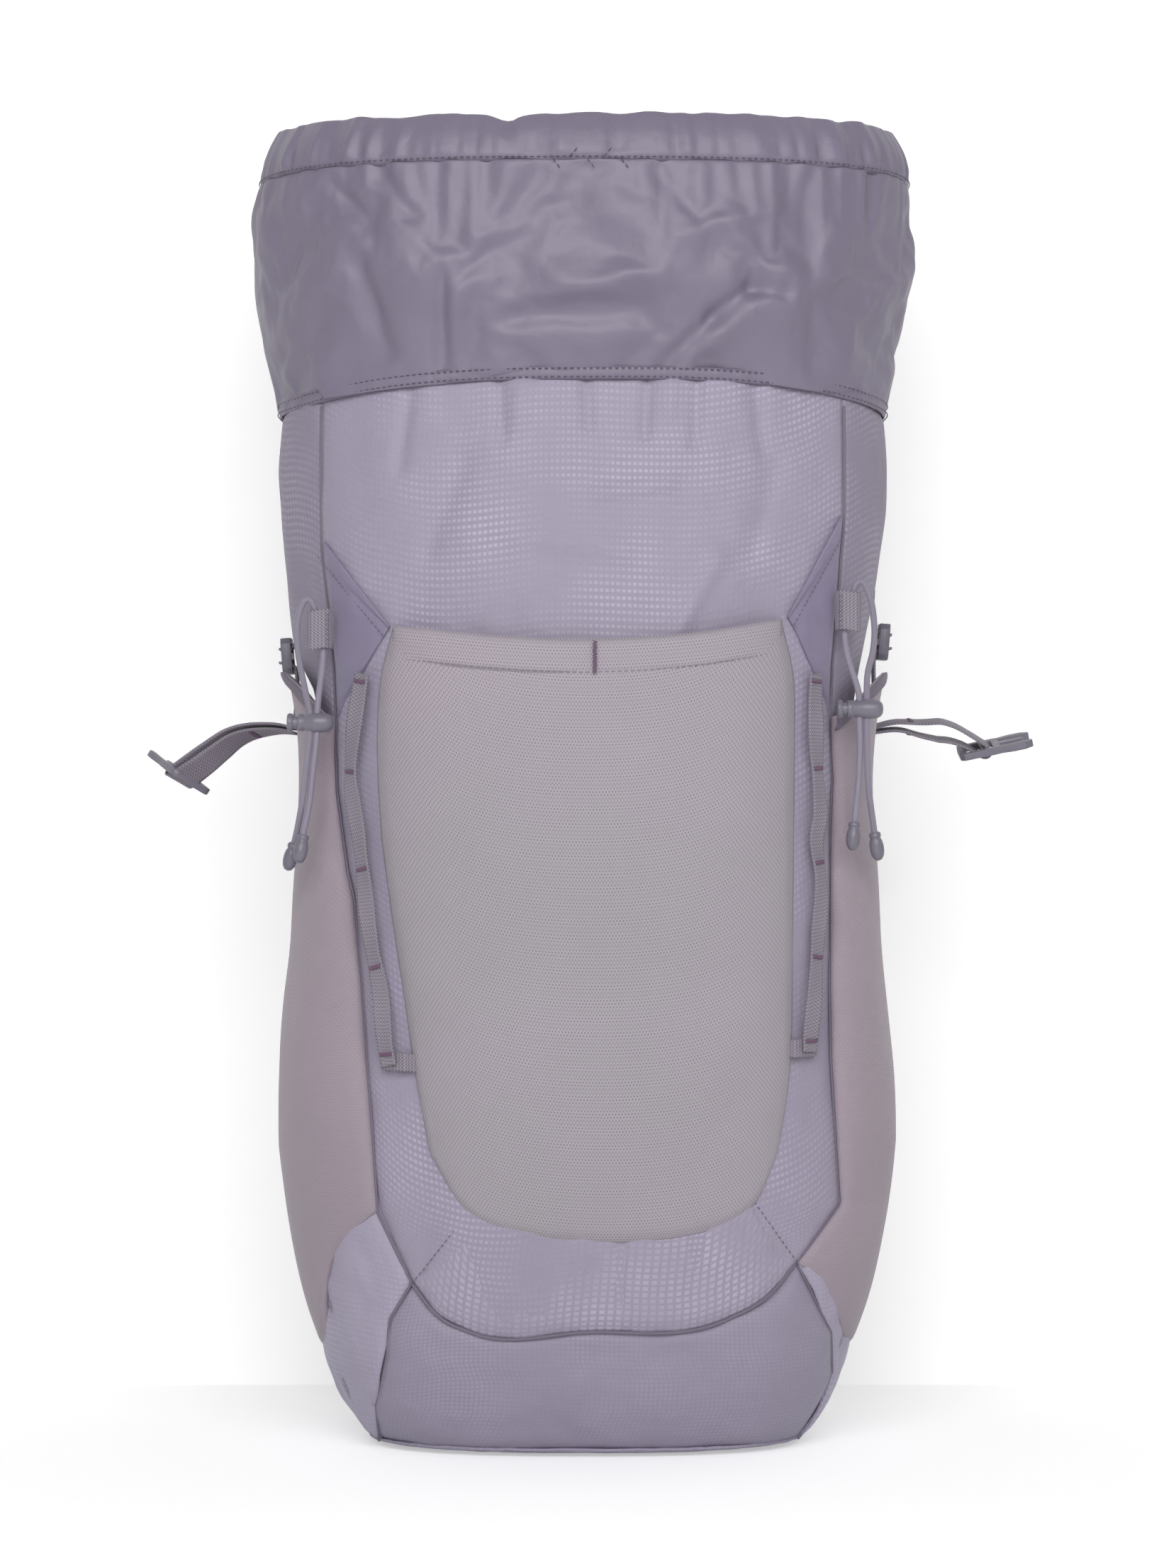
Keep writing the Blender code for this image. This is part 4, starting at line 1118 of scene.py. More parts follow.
@dataclass
class BagShell:
    """The sewn body: front, lower front, boot, flanks, back and base."""

    front_cells: tuple = (130, 220)
    creases: tuple = (
        Crease(-0.041, 0.5115, -0.0395, 0.482, 0.0030, -0.0022),
        Crease(-0.030, 0.5115, -0.031, 0.492, 0.0045, 0.0016),
        Crease(0.000, 0.5125, 0.0012, 0.488, 0.0028, -0.0020),
        Crease(0.029, 0.5130, 0.0275, 0.484, 0.0030, -0.0022),
        Crease(0.041, 0.5130, 0.0395, 0.495, 0.0040, 0.0015),
        Crease(0.0526, 0.5130, 0.051, 0.480, 0.0030, -0.0020),
        Crease(0.079, 0.5110, 0.083, 0.478, 0.0035, -0.0018),
        Crease(-0.083, 0.5060, -0.088, 0.470, 0.0035, -0.0018),
        Crease(0.005, 0.4560, 0.038, 0.4610, 0.0040, 0.0018),
        Crease(0.043, 0.392, 0.062, 0.4255, 0.0045, 0.0020),
        Crease(-0.058, 0.470, -0.074, 0.430, 0.0060, -0.0018),
        Crease(-0.030, 0.436, 0.018, 0.4300, 0.0060, 0.0014),
        Crease(0.088, 0.470, 0.079, 0.430, 0.0060, -0.0016),
        Crease(-0.112, 0.150, -0.094, 0.112, 0.0045, -0.0012),
    )
    low_creases: tuple = (
        Crease(0.0165, 0.106, 0.0155, 0.078, 0.0028, -0.0016),
        Crease(-0.022, 0.106, -0.024, 0.076, 0.0035, -0.0012),
        Crease(0.052, 0.108, 0.050, 0.080, 0.0040, -0.0012),
        Crease(-0.002, 0.104, -0.004, 0.078, 0.0040, 0.0012),
    )

    def build(self) -> None:
        """Builds every panel."""
        self.front()
        self.lower_front()
        self.boot()
        for side in Side:
            self.flank(side)
        self.rear()
        self.base()
        self.seams()

    def front(self) -> None:
        """The upper front panel, down to the boot on both sides of the lower panel."""

        def place(u: Array, v: Array) -> Array:
            low = curve_at(u, BOOT_SEAM)
            top_turn = SHELL.turn_of(between(-0.1265, 0.1228, u), np.full_like(u, 0.505))
            z = between(low, collar_foot(top_turn), v)
            left = seam_x(Side.LEFT, np.maximum(z, NOTCH[Side.LEFT]))
            right = seam_x(Side.RIGHT, np.maximum(z, NOTCH[Side.RIGHT]))
            x = between(left, right, u)
            lift = rim_dip(u, v, 0.24, 0.42) + folds(self.creases, x, z)
            points = np.stack([x, 0 * x, z], axis=1)
            lift = lift + 0.0011 * crumple(points, (22, 1, 14), 3.1) + 0.0006
            lift = lift + 0.0024 * np.clip(1 - (np.abs(x) / 0.075) ** 4, 0, 1) * np.sin(math.pi * np.clip(v, 0, 1)) ** 0.4
            return SHELL.front(x, z, lift)

        obj = MeshMaker.face_out(MeshMaker.grid("front_panel_cloth", place, *self.front_cells))
        dress(MeshMaker.thick(obj, CLOTH_THICKNESS), FINISHES.ripstop, "pack", "front_panel")

    def lower_front(self) -> None:
        """The centre panel between the pocket and the boot, its dashes upright."""

        def place(u: Array, v: Array) -> Array:
            z = between(curve_at(u, BOOT_SEAM) + 0.0004, 0.129, v)
            x = between(between(-0.0815, -0.0470, v), between(0.0985, 0.0750, v), u)
            lift = 0.0018 + rim_dip(u, v, 0.15, 0.05, 0.0022) + folds(self.low_creases, x, z)
            points = np.stack([x, 0 * x, z], axis=1)
            return SHELL.front(x, z, lift + 0.0006 * crumple(points, (60, 1, 18), 8.2))

        obj = MeshMaker.face_out(MeshMaker.grid("lower_front_cloth", place, 110, 36))
        dress(MeshMaker.thick(obj, CLOTH_THICKNESS), FINISHES.ripstop_low, "pack", "lower_front_panel")

    def boot(self) -> None:
        """The panel that wraps the bag's lower front."""

        def place(u: Array, v: Array) -> Array:
            z = between(FOOT, curve_at(u, BOOT_SEAM), v)
            left = seam_x(Side.LEFT, between(FOOT, NOTCH[Side.LEFT], v))
            right = seam_x(Side.RIGHT, between(FOOT, NOTCH[Side.RIGHT], v))
            x = between(left, right, u)
            points = np.stack([x, 0 * x, z], axis=1)
            lift = rim_dip(u, v, 0.2, 0.06) + 0.0013 * crumple(points, (26, 1, 34), 5.7)
            lift = lift + 0.0016 * np.sin(math.pi * np.clip(v, 0, 1)) ** 0.7
            spot = SHELL.front(x, z, lift)
            under = np.clip(1 - v / 0.16, 0, 1) ** 2
            spot[:, 1] += 0.0022 * under
            return spot

        obj = MeshMaker.face_out(MeshMaker.grid("boot_cloth_front", place, 110, 46))
        dress(MeshMaker.thick(obj, CLOTH_THICKNESS), FINISHES.boot, "pack", "boot_panel")

    def flank(self, side: Side) -> None:
        """One side, from the front seam to the back seam."""
        out = side.value

        def place(u: Array, v: Array) -> Array:
            guess = between(0.9, BACK_SEAM, u)
            z = between(FOOT, collar_foot(guess), v)
            turn = between(seam_turn(side, z), BACK_SEAM, u)
            points = np.stack([turn * 0.13, 0 * z, z], axis=1)
            lift = rim_dip(u, v, 0.15, 0.5) + 0.0014 * crumple(points, (16, 1, 12), 11.0 + out)
            low = np.clip(1 - z / 0.11, 0, 1)
            lift = lift + 0.0012 * low * crumple(points, (45, 1, 45), 2.0 + out, 2)
            return SHELL.wall(out * turn, z, lift)

        name = f"flank_{side.word}"
        obj = MeshMaker.face_out(MeshMaker.grid(name, place, 70, 230))
        # The flank takes the darker ripstop copy: painted shade on the bag's side.
        dress(MeshMaker.thick(obj, CLOTH_THICKNESS), FINISHES.ripstop_shaded, "pack", f"side_panel_{side.word}")

        def corner(u: Array, v: Array) -> Array:
            z = between(0.0045, 0.126, v)
            turn = between(seam_turn(side, z) + 0.004, 1.72, u)
            points = np.stack([turn * 0.13, 0 * z, z], axis=1)
            lift = 0.0011 + rim_dip(u, v, 0.12, 0.12, 0.0014)
            lift = lift + 0.0013 * crumple(points, (30, 1, 34), 31.0 + out)
            return SHELL.wall(out * turn, z, lift)

        patch = MeshMaker.face_out(MeshMaker.grid(f"corner_{side.word}", corner, 60, 66))
        dress(MeshMaker.thick(patch, 0.0010), FINISHES.corner, "pack", like=f"side_panel_{side.word}")

    def rear(self) -> None:
        """The panel against the wearer's back."""

        def place(u: Array, v: Array) -> Array:
            turn = between(BACK_SEAM, math.tau - BACK_SEAM, u)
            z = between(FOOT, collar_foot(turn), v)
            points = np.stack([turn * 0.13, 0 * z, z], axis=1)
            lift = rim_dip(u, v, 0.28, 0.5) + 0.0008 * crumple(points, (14, 1, 10), 21.0)
            return SHELL.wall(turn, z, lift)

        obj = MeshMaker.face_out(MeshMaker.grid("rear_cloth", place, 90, 130))
        # The back panel takes the same darker ripstop copy: painted shade.
        dress(MeshMaker.thick(obj, CLOTH_THICKNESS), FINISHES.ripstop_shaded, "pack", "rear_panel")

    def base(self) -> None:
        """The bottom, sewn to the walls' feet and slightly puckered."""

        def place(u: Array, v: Array) -> Array:
            ring = SHELL.wall(math.tau * u, np.full_like(u, FOOT))
            points = np.stack([np.cos(math.tau * u) * v, 0 * v, np.sin(math.tau * u) * v], axis=1)
            height = 0.0004 + 0.0026 * v**10 + 0.0005 * v**2 * np.abs(crumple(points, (9, 1, 9), 4.0))
            return np.stack([ring[:, 0] * v, ring[:, 1] * v, height], axis=1)

        obj = MeshMaker.grid("base_cloth", place, 120, 24, closed=True)
        if sum(p.normal.z for p in obj.data.polygons) > 0:
            obj.data.flip_normals()
        dress(MeshMaker.thick(obj, 0.0014), FINISHES.boot, "pack", "base_panel")

    def seams(self) -> None:
        """Thin binding cords sunk in the main seams, and two rows of stitches along the lower front panel's slanting
        edges.
        """
        for side in Side:
            z = np.linspace(FOOT, 0.500, 240)
            x = seam_x(side, z)
            line = SHELL.front(x, z, -0.0006)
            obj = MeshMaker.tube(f"seam_piping_{side.word}", line, 0.0008, 8)
            dress(obj, FINISHES.tape, "pack", like=f"side_panel_{side.word}")
        u = np.linspace(0, 1, 120)
        x = between(-0.0823, 0.0990, u)
        obj = MeshMaker.tube("boot_piping", SHELL.front(x, curve_at(u, BOOT_SEAM), -0.0003), 0.0008, 8)
        dress(obj, FINISHES.tape, "pack", like="boot_panel")
        rows = Stitching("body_stitching", FINISHES.thread_pale, "front_panel")
        for ends in (((-0.0560, 0.1186), (-0.0825, 0.0843)), ((0.0784, 0.1247), (0.1000, 0.0935))):
            x = np.linspace(ends[0][0], ends[1][0], 40)
            z = np.linspace(ends[0][1], ends[1][1], 40)
            rows.row(SHELL.front(x, z, 0.0008))
        rows.keep()


@dataclass
class Wings:
    """Smooth facets from the side seams down to the pocket's corners."""

    lift: float = 0.0024
    corners: tuple = (
        (Side.LEFT, (-0.1272, 0.4353), (-0.0927, 0.3943), (-0.0962, 0.3885), (-0.1105, 0.3636), 0.352),
        (Side.RIGHT, (0.1222, 0.4474), (0.0950, 0.3990), (0.0985, 0.3930), (0.1095, 0.3660), 0.352),
    )

    def build(self) -> None:
        """Both wings, each with its turned edge and its stitches."""
        rows = Stitching("wing_stitching", FINISHES.thread_pale, "front_wing_left")
        for side, high, corner, heel, low, outer in self.corners:
            self.facet(side, high, corner, heel, low, outer, rows)
        rows.keep()

    def facet(self, side: Side, high: tuple, corner: tuple, heel: tuple, low: tuple, outer: float,
              rows: Stitching) -> None:
        """One wing between its corners.

        Args:
            side: which side it is on.
            high: its top, at the side seam.
            corner: its point at the pocket.
            heel: where its lower edge starts.
            low: a point on its lower edge.
            outer: the height of its lowest point, at the side seam.
            rows: the stitching that it adds to.
        """

        def place(u: Array, v: Array) -> Array:
            z_out = between(outer, high[1], v)
            x_out = seam_x(side, z_out) - side.value * 0.0008
            x_in, z_in = between(heel[0], corner[0], v), between(heel[1], corner[1], v)
            bend = 4 * u * (1 - u) * (1 - v) * 0.5
            x = between(x_out, x_in, u) + bend * (low[0] - (x_out + x_in) / 2)
            z = between(z_out, z_in, u) + bend * (low[1] - between(outer, heel[1], 0.5))
            turned = np.clip((v - 0.88) / 0.03, 0, 1)
            points = np.stack([x, 0 * x, z], axis=1)
            lift = self.lift + 0.0010 * turned - 0.0022 * np.exp(-((v / 0.05) ** 2))
            lift = lift + 0.0007 * crumple(points, (50, 1, 50), 6.0) - 0.0015 * np.exp(-((u / 0.04) ** 2))
            return SHELL.front(x, z, lift)

        obj = MeshMaker.face_out(MeshMaker.grid(f"wing_{side.word}", place, 44, 44))
        dress(MeshMaker.thick(obj, CLOTH_THICKNESS), FINISHES.wing, "pack", f"front_wing_{side.word}")
        share = np.linspace(0.02, 0.98, 30)
        x = between(high[0], corner[0], share) + side.value * 0.002
        z = between(high[1], corner[1], share) - 0.0058
        rows.row(SHELL.front(x, z, self.lift + 0.0004), 0.0026)


# --- The collar ----------------------------------------------------------------------------------


@dataclass
class Collar:
    """The extension collar: a taffeta tube with a gathered drawcord channel at its top."""

    cells: tuple = (260, 34)
    growth: float = 0.035
    cap: float = 0.0065
    creases: tuple = (
        Crease(0.0354, 0.5164, 0.060, 0.5400, 0.0040, -0.0042),
        Crease(0.060, 0.5400, 0.0784, 0.5547, 0.0040, -0.0042),
        Crease(0.0784, 0.5547, 0.092, 0.5528, 0.0040, -0.0035),
        Crease(0.050, 0.5210, 0.074, 0.5420, 0.0060, 0.0026),
        Crease(-0.068, 0.5145, -0.067, 0.5585, 0.0030, -0.0034),
        Crease(-0.060, 0.5145, -0.058, 0.5500, 0.0050, 0.0022),
        Crease(-0.0325, 0.5400, 0.025, 0.5430, 0.0065, -0.0034),
        Crease(-0.010, 0.5540, 0.034, 0.5600, 0.0060, 0.0030),
        Crease(0.0038, 0.5950, 0.0038, 0.6100, 0.0025, -0.0018),
        Crease(-0.122, 0.6060, -0.104, 0.5850, 0.0035, -0.0030),
        Crease(-0.097, 0.6080, -0.083, 0.5880, 0.0035, -0.0026),
        Crease(-0.106, 0.5640, -0.094, 0.5260, 0.0050, -0.0030),
        Crease(0.108, 0.5200, 0.104, 0.6050, 0.0070, -0.0034),
        Crease(0.034, 0.6080, 0.052, 0.5860, 0.0035, -0.0022),
        Crease(-0.020, 0.6080, -0.036, 0.5860, 0.0040, -0.0020),
        Crease(-0.048, 0.5780, 0.012, 0.5880, 0.0060, 0.0022),
        Crease(0.040, 0.5760, 0.086, 0.5900, 0.0060, 0.0020),
    )

    def build(self) -> None:
        """The tube's cloth, the band at its foot and the channel."""
        self.tube()
        self.band()
        self.hem()

    def lift_at(self, points: Array, v: Array) -> Array:
        """Folds of the tube that are there before the cloth loosens."""
        ahead = points[:, 1] < 0
        lift = np.where(ahead, folds(self.creases, points[:, 0], points[:, 2]), 0.0)
        wrinkles = crumple(points, (16, 16, 20), 9.4, 3)
        sharp = 1 - np.abs(crumple(points, (26, 26, 24), 1.7, 2))
        hold = np.sin(math.pi * np.clip(v, 0, 1)) ** 0.5
        gathers = np.clip((v - 0.55) / 0.45, 0, 1) * crumple(points * (1, 1, 0.12), (120, 120, 40), 6.1, 2)
        return hold * (lift + 0.0024 * wrinkles + 0.0016 * (sharp - 0.6)) + 0.0016 * gathers

    def tube(self) -> None:
        """The tube: creased, then loosened as cloth between its two seams."""

        def place(u: Array, v: Array) -> Array:
            turn = math.tau * (u - 0.5)
            z = between(collar_foot(turn), hem_foot(turn), v)
            plain = SHELL.wall(turn, z)
            return SHELL.wall(turn, z, self.lift_at(plain, v))

        obj = MeshMaker.grid("collar_cloth", place, *self.cells, closed=True)
        MeshMaker.face_out(obj)
        spots = np.array([v.co for v in obj.data.vertices])
        turn = np.arctan2(spots[:, 0], -spots[:, 1])
        low = spots[:, 2] - collar_foot(turn)
        high = hem_foot(turn) - spots[:, 2]
        pins = np.where((low < 0.0020) | (high < 0.0020), 1.0, 0.0)
        DRAPING.add(ClothJob(obj, pins, self.growth, 0.0, self.cap, 0.15))
        self.cloth = obj

    def finish(self) -> None:
        """Dresses the tube once it has been loosened."""
        MeshMaker.thick(self.cloth, 0.0010)
        MeshMaker.refined(self.cloth)
        dress(self.cloth, FINISHES.taffeta, "pack", "collar")

    def band(self) -> None:
        """The flat band over the seam at the tube's foot, with its two rows of stitches."""

        def place(u: Array, v: Array) -> Array:
            turn = math.tau * (u - 0.5)
            z = collar_foot(turn) - 0.0018 + 0.0064 * v
            points = np.stack([np.sin(turn), np.cos(turn), z * 3], axis=1)
            lift = 0.0004 + 0.0008 * np.sin(math.pi * v) ** 0.5 + 0.0005 * crumple(points, (14, 14, 3), 3.0, 2)
            return SHELL.wall(turn, z, lift)

        obj = MeshMaker.face_out(MeshMaker.grid("collar_band", place, 280, 6, closed=True))
        dress(MeshMaker.thick(obj, 0.0008), FINISHES.taffeta, "pack", like="collar")
        rows = Stitching("collar_stitching", FINISHES.thread, "collar")
        for rise in (-0.0006, 0.0034):
            turn = np.linspace(-math.pi, math.pi, 400)
            rows.row(SHELL.wall(turn, collar_foot(turn) + rise, 0.0021), 0.0030)
        turn = np.linspace(-math.pi, math.pi, 400)
        rows.row(SHELL.wall(turn, hem_foot(turn) + 0.0008, 0.0012), 0.0030)
        for k in range(5):
            a = SHELL.front(np.array([-0.016 + 0.008 * k]), np.array([0.6128]), 0.0016)[0]
            b = a + np.array([0.004, 0.0, 0.005 if k % 2 else -0.005])
            rows.row(np.array([a, (a + b) / 2, b]), 0.0022, 0.8)
        rows.keep()

    def hem(self) -> None:
        """The channel: cloth folded over at the rim and gathered along its cord."""
        outside, over, inside = 12, 4, 8
        rows = outside + over + inside

        def place(u: Array, v: Array) -> Array:
            turn = math.tau * (u - 0.5)
            step = np.rint(v * rows)
            rise = np.clip(step / outside, 0, 1)
            down = np.clip((step - outside - over) / inside, 0, 1)
            fold = np.clip((step - outside) / over, 0, 1)
            plain = SHELL.wall(turn, np.full_like(turn, 0.62))
            dip = 0.0042 * np.exp(-(((plain[:, 0] + 0.038) / 0.007) ** 2)) * (plain[:, 1] < 0)
            rim_points = plain * (1, 1, 0)
            scallop = 0.0012 * crumple(rim_points, (55, 55, 1), 2.2, 2)
            top = 0.6352 + scallop - dip
            base = hem_foot(turn)
            pucker = crumple(rim_points, (170, 170, 1), 7.7, 2)
            deep = crumple(rim_points, (70, 70, 1), 5.1, 2)
            z = between(base, top, rise * (1 - down) * 0.92) + 0.0017 * np.sin(math.pi * fold)
            z = np.where(down > 0, between(top, base + 0.002, down), z)
            belly = np.sin(math.pi * np.clip(0.06 + 0.94 * rise, 0, 1)) ** 0.8
            near = 0.35 + 0.65 * np.exp(-(((z - base) / 0.010) ** 2))
            gather = (0.0021 * pucker * near + 0.0016 * deep) * np.minimum(0.25 + rise * 3, 1)
            lift = np.where(step <= 0.5, -0.0012, 0.0004 + 0.0008 * belly + gather)
            z = np.where(step <= 0.5, z - 0.0014, z)
            lift = lift - 0.0018 * fold - 0.0012 * down - 0.0050 * np.clip(rise - 0.55, 0, 1) ** 1.5
            crease = np.exp(-(((plain[:, 0] + 0.0340 - (0.62 - z) * 0.25) / 0.0022) ** 2))
            lift = lift - 0.0026 * crease * (plain[:, 1] < 0) * rise
            return SHELL.wall(turn, np.minimum(z, 0.6376), np.maximum(lift, -0.004))

        obj = MeshMaker.grid("collar_hem_cloth", place, 460, rows, closed=True)
        MeshMaker.face_out(obj)
        obj.data.set_sharp_from_angle(angle=math.radians(180))
        dress(MeshMaker.thick(obj, 0.0006), FINISHES.taffeta, "pack", "collar_hem")


# --- Pockets -------------------------------------------------------------------------------------


@dataclass
class FrontPocket:
    """The large stretch pocket, its top bound and tacked."""

    left: tuple = (
        (-0.073, 0.147), (-0.080, 0.184), (-0.086, 0.223), (-0.092, 0.262), (-0.097, 0.300),
        (-0.099, 0.340), (-0.097, 0.370), (-0.091, 0.394),
    )
    right: tuple = (
        (0.090, 0.147), (0.0955, 0.184), (0.097, 0.223), (0.0975, 0.262), (0.098, 0.300),
        (0.0985, 0.340), (0.098, 0.370), (0.092, 0.397),
    )
    bottom: tuple = (
        (-0.073, 0.147), (-0.055, 0.119), (-0.025, 0.108), (0.018, 0.1055), (0.055, 0.110),
        (0.078, 0.122), (0.090, 0.147),
    )
    top: tuple = ((-0.091, 0.394), (-0.040, 0.3885), (0.004, 0.387), (0.050, 0.390), (0.092, 0.397))
    edge_lift: float = 0.0028
    bulge: float = 0.0150
    creases: tuple = (
        Crease(-0.060, 0.380, 0.064, 0.383, 0.0080, -0.0008),
        Crease(-0.030, 0.250, 0.040, 0.262, 0.0200, 0.0010),
        Crease(-0.066, 0.160, -0.030, 0.190, 0.0090, 0.0010),
        Crease(0.050, 0.140, 0.078, 0.180, 0.0080, -0.0010),
    )

    def spots(self, u: Array, v: Array) -> tuple:
        """Places on the pocket's face between its four edges."""
        fine = 400
        routes = [smooth_route(e, fine + 1) for e in (self.left, self.right, self.bottom, self.top)]
        iu, iv = np.rint(u * fine).astype(int), np.rint(v * fine).astype(int)
        left, right, low, high = routes[0][iv], routes[1][iv], routes[2][iu], routes[3][iu]
        a, b, c, d = routes[0][0], routes[1][0], routes[0][-1], routes[1][-1]
        uu, vv = u[:, None], v[:, None]
        flat = (1 - uu) * left + uu * right + (1 - vv) * low + vv * high
        flat -= (1 - uu) * (1 - vv) * a + uu * (1 - vv) * b + (1 - uu) * vv * c + uu * vv * d
        return flat[:, 0], flat[:, 1]

    def lift(self, u: Array, v: Array, x: Array, z: Array) -> Array:
        """How far the pocket stands off the panel behind it."""
        rise = np.minimum(v / 0.35, 1) ** 0.7 * np.maximum(np.sin(math.pi * u), 0) ** 0.5
        points = np.stack([x, 0 * x, z], axis=1)
        soft = 0.0010 * crumple(points, (14, 1, 11), 12.5, 2) * rise
        return self.edge_lift + (self.bulge - self.edge_lift) * rise + soft + folds(self.creases, x, z) * rise

    def build(self) -> None:
        """The pocket's cloth, the binding at its mouth and its seam."""

        def place(u: Array, v: Array) -> Array:
            x, z = self.spots(u, v)
            dip = rim_dip(u, np.minimum(v, 0.5), 0.19, 0.28, 0.0018)
            return SHELL.front(x, z, self.lift(u, v, x, z) + dip)

        obj = MeshMaker.face_out(MeshMaker.grid("front_pocket_cloth", place, 120, 170))
        dress(MeshMaker.thick(obj, CLOTH_THICKNESS), FINISHES.pocket, "pack", "front_pocket")

        def mouth(u: Array, v: Array) -> Array:
            share = np.full_like(u, 1.0)
            x, z = self.spots(u, share)
            lift = self.lift(u, share, x, z) + 0.0002 + 0.0007 * np.sin(math.pi * v) ** 0.3
            return SHELL.front(x, z - 0.0160 + 0.0165 * v, lift)

        tape = MeshMaker.face_out(MeshMaker.grid("front_pocket_binding", mouth, 140, 6))
        dress(MeshMaker.thick(tape, 0.0014), FINISHES.pocket, "pack", like="front_pocket")
        u = np.linspace(0.01, 0.99, 200)
        rows = Stitching("pocket_stitching", FINISHES.thread_knit, "front_pocket")
        x, z = self.spots(u, np.ones_like(u))
        rows.row(SHELL.front(x, z - 0.0150, self.lift(u, np.ones_like(u), x, z) + 0.0008), 0.0030)
        rows.keep()
        tacks = Stitching("pocket_tack", FINISHES.thread_tack, "front_pocket")
        middle = SHELL.front(np.array([0.0040]), np.array([0.3790]), self.bulge + 0.0022)[0]
        up, across = np.array([0, 0, 1.0]), np.array([1.0, 0, 0])
        tacks.zigzag(middle, up, across, 0.0150, 0.0024, 22)
        tacks.keep()


@dataclass
class SidePocket:
    """A stretch pocket on the bag's side, bound at its slanting mouth."""

    side: Side
    bulge: float = 0.0130
    edge_lift: float = 0.0022

    def rows_at(self, u: Array) -> tuple:
        """Heights of the pocket's lower edge and of its mouth."""
        if self.side is Side.LEFT:
            low = curve_at(u, ((0, 0.1184), (0.305, 0.086), (0.468, 0.0536), (0.6, 0.0455), (1, 0.045)))
        else:
            low = curve_at(u, ((0, 0.0935), (0.2, 0.0755), (0.4, 0.0560), (0.6, 0.0465), (1, 0.045)))
        return low, 0.352 + 0.022 * np.sin(math.pi * u)

    def face(self, u: Array, v: Array) -> tuple:
        """Turn, height and lift on the pocket's face."""
        low, high = self.rows_at(u)
        z = between(low, high, v)
        start = seam_turn(self.side, np.maximum(z, 0.1184 if self.side is Side.LEFT else NOTCH[self.side]))
        turn = between(start, BACK_SEAM - 0.03, u)
        rise = np.minimum(v / 0.3, 1) ** 0.7 * np.maximum(np.sin(math.pi * u), 0) ** 0.6
        points = np.stack([turn * 0.13, 0 * z, z], axis=1)
        soft = 0.0009 * crumple(points, (18, 1, 13), 15.0 + self.side.value, 2) * rise
        return turn, z, self.edge_lift + (self.bulge - self.edge_lift) * rise + soft

    def build(self) -> None:
        """The pocket's cloth and the binding at its mouth."""
        out = self.side.value

        def place(u: Array, v: Array) -> Array:
            turn, z, lift = self.face(u, v)
            dip = rim_dip(u, np.minimum(v, 0.5), 0.16, 0.3, 0.0016)
            return SHELL.wall(out * turn, z, lift + dip)

        name = f"side_pocket_{self.side.word}"
        obj = MeshMaker.face_out(MeshMaker.grid(f"{name}_cloth", place, 90, 150))
        dress(MeshMaker.thick(obj, CLOTH_THICKNESS), FINISHES.side_mesh, "pack", name)

        def mouth(u: Array, v: Array) -> Array:
            turn, z, lift = self.face(u, np.ones_like(u))
            bulge = 0.0008 + 0.0008 * np.sin(math.pi * v) ** 0.5
            return SHELL.wall(out * turn, z - 0.0065 + 0.0070 * v, lift + bulge)

        tape = MeshMaker.face_out(MeshMaker.grid(f"{name}_binding", mouth, 110, 6))
        dress(MeshMaker.thick(tape, 0.0018), FINISHES.tape, "pack", like=name)


# --- Webbing, cords and hardware -----------------------------------------------------------------


@dataclass
class DaisyChain:
    """Narrow webbing down the pocket's edge, tacked so that it stands off in loops."""

    side: Side
    width: float = 0.0085
    routes: tuple = (
        (Side.LEFT, (
            (-0.1060, 0.372), (-0.1085, 0.356), (-0.1105, 0.341), (-0.1117, 0.322), (-0.1096, 0.308),
            (-0.1074, 0.296), (-0.1044, 0.271), (-0.1010, 0.245), (-0.0965, 0.222), (-0.0945, 0.200),
            (-0.0925, 0.188))),
        (Side.RIGHT, (
            (0.1085, 0.372), (0.1082, 0.356), (0.1088, 0.336), (0.1101, 0.315), (0.1105, 0.305),
            (0.1088, 0.293), (0.1109, 0.271), (0.1092, 0.247), (0.1075, 0.222), (0.1058, 0.205),
            (0.1052, 0.194))),
    )

    def build(self) -> None:
        """The webbing with its folded tail, and its tacks."""
        route = dict(self.routes)[self.side]
        count = 200
        flat = smooth_route(route, count + 1)
        u = np.linspace(0, 1, count + 1)
        lift = 0.0056 + 0.0030 * np.sin(4 * math.pi * u) ** 2
        line = SHELL.front(flat[:, 0], flat[:, 1], lift)
        beside = SHELL.front(flat[:, 0] + 0.002, flat[:, 1], lift)
        ahead = unit(np.gradient(line, axis=0))
        normal = unit(np.cross(unit(beside - line), ahead))
        wide = unit(np.cross(ahead, normal))
        twist = 0.16 * np.sin(8 * math.pi * u + self.side.value)[:, None]
        wide = unit(wide + normal * twist)
        name = f"daisy_chain_{self.side.word}"
        obj = MeshMaker.strip(f"{name}_webbing", line, wide, self.width, 0.0013, 8, 0.0004)
        dress(obj, FINISHES.webbing, "pack", name)
        end_x, end_z = flat[-1]
        inward = np.linspace(-0.0030, 0.0180, 26)
        tail_x = end_x - self.side.value * inward
        tail = SHELL.front(tail_x, end_z + 0.0022 - 0.06 * inward, 0.0038 - 0.0010 * (inward > 0.008))
        up = np.repeat(np.array([[0.0, 0.0, 1.0]]), len(tail), axis=0)
        under = MeshMaker.strip(f"{name}_tail", tail, up, self.width, 0.0012, 8)
        dress(under, FINISHES.webbing, "pack", like=name)
        tacks = Stitching(f"{name}_tacks", FINISHES.thread_tack, name)
        for at in (0.02, 0.25, 0.5, 0.75, 0.97):
            k = min(int(at * count), count - 1)
            out = normal[k] if normal[k][1] < 0 else -normal[k]
            tacks.zigzag(line[k] + out * 0.0008, wide[k], ahead[k], self.width * 0.86, 0.0022, 14)
        tacks.keep()


